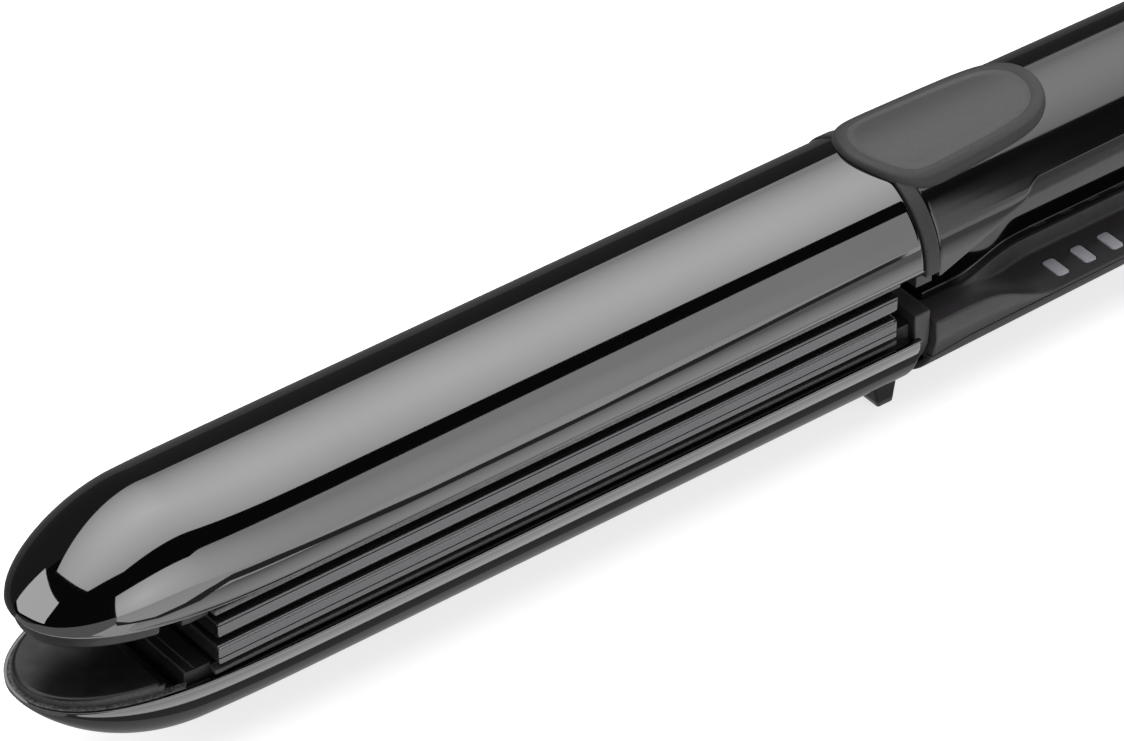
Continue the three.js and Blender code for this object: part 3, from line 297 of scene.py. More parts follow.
def barrel_form(side, distance, inset):
    """The barrel's skin, drawn in by the inset: the point at a distance from the tip moves back
    by the inset at the tip and by nothing at the barrel's end."""
    x, lift, drop = nose_place(side, distance, inset)
    width = (BARREL_HALF_WIDTH - inset) * nose_share(distance, *PLAN_NOSE)
    rise = (DOME - inset) * nose_share(distance, *RISE_NOSE) + lift
    foot = RIM + lift - drop
    return arch(x, side, np.maximum(width, 1e-4), RIM + lift, rise, foot)


def handle_form(side, x, inset, foot):
    """The handle's skin, drawn in by the inset, down to a foot height."""
    rise = crown(side, x) - spring(side, x) - inset
    return arch(x, side, half_width(x) - inset, spring(side, x), rise, foot)


def nose_distances(count=90):
    """Distances from the tip, close together at the nose: L t^2.4, then a few to the end."""
    near = PLAN_NOSE[0] * np.linspace(0, 1, count) ** 2.4
    return np.concatenate([near, np.linspace(PLAN_NOSE[0], BARREL_END, 12)[1:]])


# %% [markdown]
# ## Walls with soft edges
#
# Every shell is an outer skin and an inner skin joined along their edges. Light catches an
# edge only if it is rounded, so each edge gets a quarter circle of a few points, both along
# the rim and at the two ends.


# %% Wall helpers
def unit(vectors):
    """Vectors divided by their length."""
    return vectors / np.maximum(np.linalg.norm(vectors, axis=-1, keepdims=True), 1e-9)


def fitting_radius(corner, one, other, radius):
    """The radius, or 0.45 of the shorter side at the corner where that is less."""
    sides = [np.linalg.norm(point - corner, axis=-1) for point in (one, other)]
    return np.minimum(radius, 0.45 * np.minimum(*sides))


def soft_corner(corner, along, across, radius, steps):
    """Quarter circle at a corner: corner + r (1 - sin t) along + r (1 - cos t) across."""
    r = fitting_radius(corner, along, across, radius)[:, None, None]
    t = np.linspace(math.pi / 2, 0, steps)[None, :, None]
    a, b = unit(along - corner)[:, None], unit(across - corner)[:, None]
    return corner[:, None] + r * (1 - np.sin(t)) * a + r * (1 - np.cos(t)) * b


def beaded_corner(corner, along, across, bead):
    """Edge with a bead: corner + s along - o across for the bead's steps (s, o), which shrink
    where the skin's first step is shorter than 1 mm."""
    size = np.minimum(1, np.linalg.norm(along - corner, axis=-1))[:, None, None]
    a, b = unit(along - corner)[:, None], unit(across - corner)[:, None]
    return corner[:, None] + size * (bead[None, :, :1] * a - bead[None, :, 1:] * b)


def wall_patches(outer, inner, edge, closed_ends=(0, -1), bead=None):
    """Wall between two skins of equal size, with both long edges rounded and the ends closed."""
    sides = []
    steps = 6 if bead is None else len(bead)
    for skin, other in ((outer, inner), (inner, outer)):
        corner, how = soft_corner, (edge, steps)
        if bead is not None and skin is outer:
            corner, how = beaded_corner, (bead,)
        left = corner(skin[:, 0], skin[:, 1], other[:, 0], *how)
        right = corner(skin[:, -1], skin[:, -2], other[:, -1], *how)[:, ::-1]
        sides.append(np.concatenate([left, skin[:, 1:-1], right], 1))
    ring = np.concatenate([sides[0], sides[1][:, ::-1]], 1)
    ends = [(np.stack([sides[0][i], sides[1][i]]), False) for i in closed_ends]
    return [(ring, True), *ends]


def soft_ends(stations, radius, at_start=True, at_end=True):
    """Stations with a few more at the ends, and how far the skin draws in at each:
    x moves by r (1 - sin t) while the skin draws in by r (1 - cos t). A guard station just
    before the bend keeps the smooth shading of the long faces straight."""
    t = np.linspace(0, math.pi / 2, 4)
    step, draw = radius * (1 - np.sin(t)), radius * (1 - np.cos(t))
    x, e = stations, np.zeros(len(stations))
    for wanted, way in ((at_start, 1), (at_end, -1)):
        if wanted:
            end, beside = stations[::way][:2]
            guard = radius + min(0.3, (abs(beside - end) - radius) / 2)
            bend = [(end + way * step)[::-1], [end + way * guard]]
            x = np.concatenate([*bend, x[::way][1:]])[::way]
            e = np.concatenate([draw[::-1], [0], e[::way][1:]])[::way]
    return x, e


def shell_wall(form, stations, inset, wall, edge, radius, at_start=True, at_end=True,
               closed_ends=(0, -1), bead=None):
    """Wall patches of a form(x, inset), with soft ends and soft long edges."""
    x, e = soft_ends(stations, radius, at_start, at_end)
    return wall_patches(form(x, inset + e), form(x, inset + wall - e), edge, closed_ends, bead)


def fillet_path(path, radius, steps=5):
    """Rounds each inner corner of the paths (stations x corners x 3): a quadratic Bezier from
    r before the corner to r after it."""
    rows = [path[:, :1]]
    t = np.linspace(0, 1, steps)[None, :, None]
    for k in range(1, path.shape[1] - 1):
        corner, before, after = path[:, k], path[:, k - 1], path[:, k + 1]
        r = fitting_radius(corner, before, after, radius[k - 1])[:, None]
        a = (corner + r * unit(before - corner))[:, None]
        b = (corner + r * unit(after - corner))[:, None]
        mid = corner[:, None]
        rows.append(a * (1 - t) ** 2 + 2 * mid * t * (1 - t) + b * t**2)
    rows.append(path[:, -1:])
    return np.concatenate(rows, 1)


def rounded_rectangle(half_x, half_y, radius):
    """Loop of points round a rectangle whose corners are quarter circles."""
    t = np.linspace(0, math.pi / 2, 6)
    corners = []
    for turn, (sx, sy) in enumerate(((1, 1), (-1, 1), (-1, -1), (1, -1))):
        a = t + turn * math.pi / 2
        centre = np.array([sx * (half_x - radius), sy * (half_y - radius)])
        corners.append(centre + radius * np.stack([np.cos(a), np.sin(a)], -1))
    return np.concatenate(corners)


def drawn_in(loop, distance):
    """A flat closed loop moved inwards along its normals."""
    tangent = unit(np.roll(loop, -1, 0) - np.roll(loop, 1, 0))
    normal = np.stack([-tangent[:, 1], tangent[:, 0]], -1)
    area = np.sum(loop[:, 0] * np.roll(loop[:, 1], -1) - np.roll(loop[:, 0], -1) * loop[:, 1])
    return loop + normal * distance * np.sign(area)


def soft_prism(loop, z0, z1, radius, steps=4):
    """Upright prism on a flat loop, with the edges at z0 and z1 rounded by the radius."""
    t = np.linspace(math.pi / 2, 0, steps)
    away = math.copysign(1, z1 - z0)
    rows = [(radius * (1 - math.cos(a)), z0 + away * radius * (1 - math.sin(a))) for a in t]
    rows += [(radius * (1 - math.cos(a)), z1 - away * radius * (1 - math.sin(a))) for a in t[::-1]]
    loops = [np.column_stack([drawn_in(loop, d), np.full(len(loop), z)]) for d, z in rows]
    return loops_patches(np.array(loops))


def soft_block(half_x, half_y, corner, z0, z1, radius):
    """Soft prism on a rounded rectangle."""
    return soft_prism(rounded_rectangle(half_x, half_y, corner), z0, z1, radius)


def disc(radius, count=48):
    """Loop of points round a circle."""
    a = np.linspace(0, 2 * math.pi, count, endpoint=False)
    return radius * np.stack([np.cos(a), np.sin(a)], -1)


def placed(patches, x, y=0.0):
    """Patches moved along and across the arm."""
    return [(grid + np.array([x, y, 0.0]), wrap) for grid, wrap in patches]


def on_side(patches, side):
    """Patches as they are for the upper arm, or mirrored in z for the lower one."""
    return [(grid * np.array([1, 1, side]), wrap) for grid, wrap in patches]


def carried(x, corners):
    """A section's corners (y, z), each an array over the stations x: stations x corners x 3."""
    return np.stack([np.stack([x, y, z], -1) for y, z in corners], 1)


def both_sides(left):
    """A path from the left to the middle, and on along its mirror image."""
    return np.concatenate([left, left[:, ::-1][:, 1:] * np.array([1, -1, 1])], 1)


def spun(profile, centre, count=64):
    """A profile of (radius, place across the arm) turned round the hinge's direction."""
    profile = np.array(profile, float)
    a = np.linspace(0, 2 * math.pi, count, endpoint=False)
    r, h = profile[:, :1], np.broadcast_to(profile[:, 1:], (len(profile), count))
    ring = np.stack([r * np.sin(a), h, r * np.cos(a)], -1)
    return [(ring + np.array(centre, float), True)]


# %% [markdown]
# ## Finishes
#
# Each finish is one Principled shader with a little life in it: a mottled colour, a roughness
# that wanders, and a fine grain as bump. All patterns read Object coordinates, and since each
# object sits at the origin they are in metres on the real part.


# %% Finish helper
def set_inputs(node, **values):
    """Sets a node's sockets by name, with _ for each space."""
    for socket, value in values.items():
        node.inputs[socket.replace("_", " ")].default_value = value


def new_node(tree, kind, **values):
    """A new shader node with its sockets set."""
    node = tree.nodes.new("ShaderNode" + kind)
    set_inputs(node, **values)
    return node


def wire(tree, *path):
    """Links nodes in a row: node, output, input, node, output, input, node."""
    for k in range(0, len(path) - 1, 3):
        node, output, socket, after = path[k:k + 4]
        tree.links.new(node.outputs[output], after.inputs[socket])


def finish(name, colour, roughness, metallic, mottle, spread, grain=None, **sockets):
    """A Principled material. mottle, spread and grain are (strength, scale) of three noises that
    drive the colour, the roughness and the bump."""
    material = bpy.data.materials.new(name)
    material.use_nodes = True
    tree = material.node_tree
    shader = tree.nodes["Principled BSDF"]
    set_inputs(shader, Base_Color=(*colour, 1), Roughness=roughness, Metallic=metallic, **sockets)
    place = new_node(tree, "TexCoord")

    def noise(scale):
        texture = new_node(tree, "TexNoise", Scale=scale, Detail=3.0)
        wire(tree, place, "Object", "Vector", texture)
        return texture

    ramp = new_node(tree, "ValToRGB")
    for stop, position, sign in zip(ramp.color_ramp.elements, (0.35, 0.65), (-1, 1)):
        stop.position = position
        stop.color = (*(c * (1 + sign * mottle[0]) for c in colour), 1)
    wire(tree, noise(mottle[1]), "Fac", "Fac", ramp, "Color", "Base Color", shader)
    low, high = max(roughness - spread[0], 0.01), roughness + spread[0]
    span = new_node(tree, "MapRange", From_Min=0.3, From_Max=0.7, To_Min=low, To_Max=high)
    wire(tree, noise(spread[1]), "Fac", "Value", span, "Result", "Roughness", shader)
    if grain:
        bump = new_node(tree, "Bump", Strength=grain[0], Distance=0.0001)
        wire(tree, noise(grain[1]), "Fac", "Height", bump, "Normal", "Normal", shader)
    return material


# %% The finishes
shell_finish = finish("smoked chrome", (0.15, 0.15, 0.152), 0.035, 1.0, (0.02, 30), (0.01, 25))
plate_finish = finish("dark plate coating", (0.12, 0.12, 0.124), 0.12, 0.9, (0.3, 9000),
                      (0.03, 3000), (0.05, 9000))
cap_finish = finish("black moulded plastic", (0.009, 0.009, 0.0095), 0.36, 0, (0.25, 500),
                    (0.06, 400), (0.15, 6000))
carrier_finish = finish("black glass-filled plastic", (0.008, 0.0075, 0.008), 0.5, 0,
                        (0.35, 2600), (0.08, 900), (0.35, 5000))
# Painted light: black plastic made lighter than the caps' and carriers' black, standing in for the
# front light on the lips' upright walls.
lips_painted_lit = finish("black plastic painted lit", (0.035, 0.034, 0.035), 0.45, 0, (0.3, 2600),
                    (0.08, 900), (0.3, 5000))
# Painted light: the upper arm's lips get a lighter copy of the lips' black plastic, standing in
# for light that the shell's overhang keeps off them.
upper_lips_painted_lighter = finish("black plastic painted lighter under the overhang", (0.085, 0.083, 0.085), 0.4, 0,
                           (0.3, 2600), (0.08, 900), (0.3, 5000))
ledge_finish = finish("speckled moulding", (0.05, 0.05, 0.051), 0.42, 0, (0.75, 1900),
                      (0.12, 1200), (0.8, 2600))
rubber_finish = finish("soft-touch rubber", (0.017, 0.017, 0.018), 0.6, 0, (0.06, 2500),
                       (0.04, 1500), (0.12, 9000), Sheen_Weight=0.05, Sheen_Roughness=0.4)
# Painted sheen: the dish's rubber is a paler copy of the rim's, standing in for the overhead
# panel's broad reflection in the dish.
dish_painted_sheen_finish = finish("soft-touch rubber with painted sheen", (0.034, 0.034, 0.036), 0.5, 0, (0.06, 2500),
                     (0.04, 1500), (0.12, 9000), Sheen_Weight=0.1, Sheen_Roughness=0.4)
gloss_finish = finish("black gloss plastic", (0.003, 0.003, 0.0035), 0.07, 0, (0.2, 40),
                      (0.01, 60), IOR=1.7)
panel_finish = finish("piano black strip", (0.003, 0.003, 0.004), 0.05, 0, (0.2, 60), (0.01, 80))
housing_finish = finish("satin plastic", (0.037, 0.034, 0.037), 0.42, 0, (0.08, 900),
                        (0.04, 500), (0.2, 8000), Specular_IOR_Level=0.4)
# Painted shade: a darker copy of the satin housing plastic for the upper housing, whose face looks
# down into the shaded finger gap.
housing_painted_shade_finish = finish("satin plastic with painted shade", (0.013, 0.012, 0.013), 0.42, 0, (0.08, 900),
                     (0.04, 500), (0.2, 8000), Specular_IOR_Level=0.35)
window_finish = finish("frosted lens", (0.42, 0.42, 0.46), 0.35, 0, (0.06, 1500), (0.05, 900))
steel_finish = finish("plain steel", (0.55, 0.55, 0.56), 0.3, 1.0, (0.06, 900), (0.06, 700))
ceramic_finish = finish("ceramic heater", (0.7, 0.66, 0.58), 0.6, 0, (0.06, 900), (0.05, 500))
shield_finish = finish("mica sheet", (0.5, 0.44, 0.33), 0.6, 0, (0.25, 1200), (0.08, 600))
board_finish = finish("green circuit board", (0.015, 0.09, 0.035), 0.4, 0, (0.15, 900),
                      (0.05, 400))
lead_finish = finish("silicone lead", (0.5, 0.47, 0.42), 0.5, 0, (0.08, 900), (0.06, 500))
print("finishes", len(bpy.data.materials))

# %% [markdown]
# ## Barrel shells
#
# Two mirror-bright half shells with a bullet nose. A lathe or a bent cylinder would not give
# a nose that is round in plan but pointed in profile, so the skin is the formula above on a
# fine grid, with stations crowded towards the tip. The rim has a thin bead that catches a bright
# line: steps (up the skin, out of it) that shrink where the skin's first step is short.

# %% Barrel shells
SHELL_WALL = 0.9
RIM_BEAD = np.array([
    [0, -0.34], [0.0, -0.2], [0.02, -0.06], [0.04, 0.08], [0.08, 0.18], [0.14, 0.25], [0.21, 0.28],
    [0.27, 0.27], [0.31, 0.235], [0.355, 0.16], [0.4, 0.08], [0.44, 0.025], [0.52, 0],
])
for side, name, body in ARMS:
    patches = shell_wall(
        lambda d, inset: barrel_form(side, d, inset),
        nose_distances(), inset=0, wall=SHELL_WALL, edge=0.3, radius=0.25, at_start=False,
        closed_ends=(-1,), bead=RIM_BEAD,
    )
    shell = add_piece(
        f"{name}_barrel_skin", patches,
        shell_finish, body, [f"{name}_barrel_shell"], "shell",
    )
    print(shell.name, len(shell.data.polygons), "faces")

# %% [markdown]
# ## Tip caps
#
# A black cap closes each nose. It stands out of the shell towards the other arm and rests on
# a wider flange inside the rim. Its loops share one count of points, so the step from cap to
# flange is only one more strip of quads. A speckled ledge runs round each nose, and the lower
# cap has a thin raised lip. Both are a small ring of corners carried along the rim.


# %% Tip caps
def nose_loop(inset, end, count=60, rear=24):
    """Plan of the nose, drawn in by the inset, cut square at the end and softened there."""
    d = (end - inset) * np.linspace(0, 1, count) ** 2.2
    y = (BARREL_HALF_WIDTH - inset) * nose_share(d, *PLAN_NOSE)
    side = np.column_stack([d + inset, y])
    across = np.column_stack([np.full(rear, end), np.linspace(y[-1], -y[-1], rear + 2)[1:-1]])
    loop = np.concatenate([side[::-1][:-1] * [1, -1], side, across])
    for _ in range(3):
        loop = (np.roll(loop, 1, 0) + 2 * loop + np.roll(loop, -1, 0)) / 4
    return loop


def nose_ledge(side, ring, end=18.2):
    """The ring's corners (inset, depth below the rim) carried along the rim of the nose."""
    s = np.linspace(-1, 1, 161)
    d = end * np.abs(s) ** 2.2
    stations = []
    for inset, depth in ring:
        x, lift, drop = nose_place(side, d, inset)
        y = -np.sign(s) * (BARREL_HALF_WIDTH - inset) * nose_share(d, *PLAN_NOSE)
        stations.append(np.stack([x, y, side * (RIM + lift - drop + depth)], -1))
    return loops_patches(np.stack(stations, 1))


LEDGE_RING = [
    (0.3, 0.1), (0.36, -0.02), (0.46, -0.08), (0.7, -0.1), (1.5, -0.1), (1.5, 0.3), (0.3, 0.3),
]
LIP_RING = [(0.98, 0.1), (0.98, -0.8), (1.03, -1.0), (1.15, -1.08), (1.5, -1.08), (1.5, 0.1)]
CAP_FACE = {"upper": 3.95, "lower": 4.5}
CAP_EDGE = 0.6
FLANGE_FACE, FLANGE_BACK, FLANGE_EDGE = 7.5, 8.9, 0.15
for side, name, body in ARMS:
    core, flange = nose_loop(1.05, 15.9), nose_loop(1.2, 18.4)
    core[:, 0] -= NOSE[side][1] * towards_tip(core[:, 0])
    face = CAP_FACE[name]
    rows = [
        (drawn_in(core, CAP_EDGE * (1 - math.sin(t))), face + CAP_EDGE * (1 - math.cos(t)))
        for t in np.linspace(0, math.pi / 2, 7)
    ]
    small_flange = drawn_in(flange, FLANGE_EDGE)
    rows += [(core, FLANGE_FACE - 0.1), (drawn_in(core, 0.06), FLANGE_FACE)]
    rows += [(small_flange, FLANGE_FACE), (flange, FLANGE_FACE + FLANGE_EDGE)]
    rows += [(flange, FLANGE_BACK - FLANGE_EDGE), (small_flange, FLANGE_BACK)]
    loops = np.array([np.column_stack([loop, np.full(len(loop), side * z)]) for loop, z in rows])
    add_piece(
        f"{name}_nose_cap", loops_patches(loops),
        cap_finish, body, [f"{name}_tip_cap"], "cap",
    )
    patches = nose_ledge(side, LEDGE_RING)
    add_piece(f"{name}_nose_ledge", patches, ledge_finish, body, [], "cap")
# The lower nose's lip wall takes the lighter black plastic with painted light.
patches = nose_ledge(-1, LIP_RING, 15.0)
add_piece("lower_nose_lip", patches, lips_painted_lit, "lower_arm", [], "cap")

# %% [markdown]
# ## Heating plates
#
# Long bars with a big radius on the working edges, a tight one on the back edges and a hairline
# groove along each side. The section is a polygon whose corners are rounded, drawn in a little
# at both ends. Two rails on the back hold the heater between them.


# %% Heating plates
PLATE_START, PLATE_END = 23.3, 143.3
PLATE_MIDDLE = (PLATE_START + PLATE_END) / 2
PLATE_HALF_WIDTH = 14.0
# Working face, back and groove, as depths from the meeting plane
PLATE_LEVELS = {"upper": (0.45, 3.45, 2.98), "lower": (0.65, 3.85, 2.72)}


def plate_section(x, draw, face, back, groove):
    """Section of the plate, drawn in at the ends: back, side with its groove, working face."""
    half, face, back = PLATE_HALF_WIDTH - draw, face + draw, back - draw
    zero = np.zeros_like(half)
    groove = groove + zero
    left = [
        (zero, back), (-half, back), (-half, groove + 0.1), (0.2 - half, groove + 0.07),
        (0.2 - half, groove - 0.07), (-half, groove - 0.1), (-half, face), (zero, face),
    ]
    path = both_sides(carried(x, left))
    radii = [0.3, 0.03, 0.03, 0.03, 0.03, 1.4]
    return fillet_path(path, [*radii, 0.01, *radii[::-1]], 9)[:, :-1]


for side, name, _ in ARMS:
    x, draw = soft_ends(np.linspace(PLATE_START, PLATE_END, 25), 0.35)
    patches = loops_patches(plate_section(x, draw, *PLATE_LEVELS[name]))
    for y in (-6.8, 6.8):
        rail = soft_block(53.3, 0.6, 0.3, 3.6, 6.6, 0.15)
        patches += placed(rail, PLATE_MIDDLE, y)
    add_piece(
        f"{name}_plate_bar", on_side(patches, side),
        plate_finish, f"{name}_plate", [f"{name}_heating_plate"], "plate",
    )

# %% [markdown]
# ## Carriers, couplers and the rest foot
#
# These are plain moulded blocks, so a copy of the CAD solid with rounded edges is enough: the
# copy is welded, its flat faces are joined, and a Bevel modifier rounds what is left. Each
# carrier also has a raised lip along both sides and two thin ribs near its front.

# %% Moulded blocks
add_mouldings([
    ("upper_plate_carrier", "upper_arm", carrier_finish, "carrier", 0.22),
    ("lower_plate_carrier", "lower_arm", carrier_finish, "carrier", 0.22),
    ("upper_coupler", "upper_arm", housing_finish, "housing", 0.2),
    ("lower_coupler", "lower_arm", housing_finish, "cap", 0.3),
    ("rest_foot", "lower_arm", cap_finish, "cap", 0.45),
])

# Distance from the middle, half width, and the heights of foot and top
LIP_SHAPES = {"upper": (13.1, 0.85, 4.95, 5.85), "lower": (12.8, 0.75, 4.95, 5.7)}
for side, name, body in ARMS:
    middle_y, half_y, low, high = LIP_SHAPES[name]
    lips = []
    for y in (-middle_y, middle_y):
        lips += placed(soft_block(60.4, half_y, 0.3, low, high, 0.2), PLATE_MIDDLE, y)
    for x in (18.95, 20.45):
        lips += placed(soft_block(0.14, 11.9, 0.13, 4.12, 4.4, 0.06), x)
    # The upper arm's lips take the copy painted lighter against the overhang's shade; the lower
    # arm's lips take the one painted lit.
    add_piece(
        f"{name}_carrier_lips", on_side(lips, side),
        upper_lips_painted_lighter if side > 0 else lips_painted_lit, body, [], "carrier",
    )

# %% [markdown]
# ## Rubber collar and thumb pad
#
# The collar is a narrow strap round the end of the barrel. The pad on top is one closed loop
# in plan. Its height over the arm follows the distance from its edge: it rises quickly to a
# soft rim and sinks again to a shallow dish for the thumb. The ring is in one piece with the
# strap, and the dish inside it is another, in paler rubber that carries a painted sheen.


# %% Collar and pad
def pad_loop(count=160):
    """Outline of the pad in plan, through measured points, even in length and smoothed."""
    half = np.array([
        [144.3, 0], [144.8, -2.6], [146.2, -5.4], [148.3, -7.9], [151.3, -9.45], [154.2, -9.6],
        [158.2, -9.4], [166, -9.05], [171.5, -8.6], [174.9, -7.75], [177.5, -5.9],
        [178.9, -3.6], [179.4, -1.0],
    ])
    loop = np.concatenate([half, half[::-1][:-1] * [1, -1]])
    closed = np.concatenate([loop, loop[:1]])
    run = np.concatenate([[0], np.cumsum(np.linalg.norm(np.diff(closed, axis=0), axis=1))])
    s = np.linspace(0, run[-1], count, endpoint=False)
    even = np.column_stack([np.interp(s, run, closed[:, k]) for k in (0, 1)])
    for _ in range(14):
        even = (np.roll(even, 1, 0) + 2 * even + np.roll(even, -1, 0)) / 4
    return even


def on_upper_arm(plan, proud):
    """Points over the upper arm at a height above its skin: the ellipse through (w + h) and
    (rise + h), so z = spring + (rise + h) sqrt(1 - (y / (w + h))^2)."""
    x, y = plan[..., 0], plan[..., 1]
    width = half_width(x) + proud
    rise = crown(1, x) - RIM + proud
    z = RIM + rise * np.sqrt(np.clip(1 - (y / width) ** 2, 0, 1))
    return np.stack([x, y, z], -1)


def distance_to(loop, points):
    """Distance of points to a closed loop in plan: the least over all its segments."""
    a, step = loop, np.roll(loop, -1, 0) - loop
    away = points[..., None, :] - a
    t = np.clip((away * step).sum(-1) / (step * step).sum(-1), 0, 1)
    return np.linalg.norm(away - t[..., None] * step, axis=-1).min(-1)


PAD_FOOT = 0.05


def pad_height(edge_distance):
    """Height over the arm: a quarter-round lip, then a dish 0.65 deep from 1.2 to 3.4 mm in."""
    lip = np.sqrt(np.clip(1 - (1 - np.clip(edge_distance / 0.6, 0, 1)) ** 2, 0, 1))
    return PAD_FOOT + 0.95 * lip - 0.65 * ease(edge_distance, 1.2, 3.4)


outline = pad_loop()
middle = np.array([162.0, 0.0])
DISH_INSET = 2.0
RING_STEPS = [0, 0.02, 0.06, 0.12, 0.2, 0.3, 0.42, 0.6, 0.9, 1.2, 1.4, 1.6, 1.8, 2.0, 2.2]
ring_plan = np.array([drawn_in(outline, step) for step in RING_STEPS])
ring_top = on_upper_arm(ring_plan, pad_height(distance_to(outline, ring_plan)))
ring_under = on_upper_arm(ring_plan, np.full(ring_plan.shape[:2], PAD_FOOT))
ring = np.concatenate([ring_under[::-1], ring_top])
pad_patches = [(ring, True), (np.stack([ring[-1], ring[0]]), True)]
collar = shell_wall(
    lambda x, inset: handle_form(1, x, inset, 5.0 + 0 * x),
    np.linspace(147.8, 150.35, 4), inset=-0.3, wall=1.9, edge=0.35, radius=0.35,
)
rubber = add_piece(
    "grip_collar_rubber", pad_patches + collar,
    rubber_finish, "upper_arm", ["grip_collar"], "rubber", 50,
)

# The dish is its own piece so that it can carry the paler rubber with the painted sheen.
share = np.linspace(0, 1, 30)[:, None, None]
dish_plan = drawn_in(outline, DISH_INSET)[None] * (1 - share) + middle * share
sunk = 0.04 * (1 - ease(share[..., 0], 0, 0.035))
dish_top = on_upper_arm(dish_plan, pad_height(distance_to(outline, dish_plan)) - sunk)
dish_under = on_upper_arm(dish_plan, np.full(dish_plan.shape[:2], PAD_FOOT))
patches = [(np.concatenate([dish_under[::-1], dish_top]), True)]
pad_dish = add_piece("grip_pad_dish", patches, dish_painted_sheen_finish, "upper_arm", [], "rubber", 50)
print("pad", len(rubber.data.polygons), "faces and", len(pad_dish.data.polygons))

# %% [markdown]
# ## Upper handle
#
# The glossy cover is the handle's form down to an edge that ramps up from the collar, steps
# and runs level. Under it, set back by the cover's wall, the satin housing closes the arm
# towards the finger gap.


# %% Upper handle
COVER_WALL = 1.1
HOUSING_WALL = 1.2
STEP_START = 166.0


def cover_edge(x):
    """Height of the cover's lower edge: a straight ramp, a smooth step, level, then down."""
    ramp = 3.9 + 5.4 * np.clip((x - HANDLE_START) / 15.5, 0, 1)
    stepped = ramp + 2.6 * ease(x, STEP_START, 170.4)
    return stepped - 7.9 * ease(x, GAP_END, GAP_CLOSED)


def upper_face(x):
    """Height of the housing's face over the finger gap, closing in front of the hinge."""
    return 8.4 - 8.1 * ease(x, GAP_END, GAP_CLOSED)


def handle_stations(start, end):
    """Stations along the handle, closer together at the ramp and at the rounded end."""
    stops = [start, STEP_START, 171, NECK_END, GAP_END, GAP_CLOSED, end]
    counts = [16, 12, 6, 12, 24, 16]
    parts = [np.linspace(a, b, n, endpoint=False) for a, b, n in zip(stops, stops[1:], counts)]
    return np.concatenate([*parts, [end]])


patches = shell_wall(
    lambda x, inset: handle_form(1, x, inset, cover_edge(x)),
    handle_stations(HANDLE_START, UPPER_END), inset=0, wall=COVER_WALL, edge=0.2, radius=0.3,
    at_end=False,
)
add_piece("upper_cover_skin", patches, gloss_finish, "upper_arm", ["upper_handle_cover"], "gloss")


def housing_section(x, inset, draw):
    """Side and face of the upper housing, as an open path from the left top to the right."""
    face = upper_face(x) + inset
    top = np.maximum(cover_edge(x), upper_face(x) + 1.2) + 1.8
    levels = [top + (face - top) * t for t in (0, 0.35, 0.7, 1)]
    rise = crown(1, x) - spring(1, x) - 1.4 - inset - draw
    rows = []
    for z in levels:
        up = np.clip((z - spring(1, x)) / rise, 0, 1)
        rows.append((-(half_width(x) - 1.4 - inset - draw) * np.sqrt(1 - up**2), z))
    rows.append((0 * x, face))
    return fillet_path(both_sides(carried(x, rows)), [0.1, 0.1, 0.7, 0.1, 0.7, 0.1, 0.1])


x, draw = soft_ends(handle_stations(HANDLE_START, 274.6), 0.3)
patches = wall_patches(housing_section(x, 0.0, draw), housing_section(x, HOUSING_WALL, -draw), 0.1)
# The upper housing takes the satin plastic darkened as painted shade.
add_piece(
    "upper_housing_skin", patches,
    housing_painted_shade_finish, "upper_arm", ["upper_inner_housing"], "housing",
)

# %% [markdown]
# ## Lower handle
#
# Its cover is the same form turned over, from the seam down. The housing above the seam has
# a neck at the barrel, a hollow that sinks to the floor, and a spine that carries the strip.


# %% Lower handle
def seam_depth(x):
    """Depth of the seam between cover and housing."""
    return 11.3 - 0.9 * ease(x, HANDLE_START, 158)


# The crease at the top of the side, the floor beside the spine, and the spine's top under the
# strip: how far each sinks below the neck, and from where to where along the arm
CREASE, FLOOR, SPINE = (5.1, 160, 175), (5.1, NECK_START, 173), (2.35, NECK_START, NECK_END)


def line_depth(x, sink, start, end):
    """Depth of a line that sinks behind the neck and rises in front of the hinge."""
    open_depth = 4.75 + sink * ease(x, start, end)
    return open_depth + (0.3 - open_depth) * ease(x, GAP_END, GAP_CLOSED)


def spine_half_width(x):
    """Half width of the spine: wide at the neck, narrow on the handle."""
    return 9.2 - 5.2 * ease(x, NECK_START, NECK_END)


def lower_half_width(x, depth):
    """Half width of the lower arm's form at a depth."""
    up = np.maximum(depth - spring(-1, x), 0) / (crown(-1, x) - spring(-1, x))
    return half_width(x) * np.sqrt(np.clip(1 - up**2, 0, 1))


def lower_housing_section(x, inset, draw):
    """Top of the lower housing from the left tongue over the spine to the right one."""
    seam = seam_depth(x) - 0.2
    wall, floor, spine = (line_depth(x, *line) for line in (CREASE, FLOOR, SPINE))
    cut = inset + draw
    wide = lower_half_width(x, seam)
    tall = np.maximum(seam, wall + 0.1)
    foot = seam + 1.15
    if inset:
        rows = [(wide - 2.6, foot + (wall + cut - foot) * t) for t in (0, 0.25, 0.5, 0.75, 1)]
    else:
        rows = [
            (wide - 1.4, foot),
            (wide - 1.4, tall),
            (wide - cut, tall),
            (lower_half_width(x, (seam + wall) / 2) - cut, (tall + wall) / 2 + cut / 2),
            (lower_half_width(x, wall) - 0.3 - cut, wall + cut),
        ]
    rows += [
        (0.55 * lower_half_width(x, wall) + 0.45 * spine_half_width(x) - cut,
         0.35 * wall + 0.65 * floor + cut + 0.5 * ease(x, 156, 164) * (1 - ease(x, 168, 175))),
        (spine_half_width(x) + 0.5 - cut, floor + cut),
        (spine_half_width(x) - cut, spine + cut),
        (0 * x, spine + cut),
    ]
    path = both_sides(carried(x, [(-y, -z) for y, z in rows]))
    radii = [0.05, 0.15, 0.6, 0.5, 1.5, 0.5, 0.25]
    return fillet_path(path, [*radii, 0.1, *radii[::-1]])


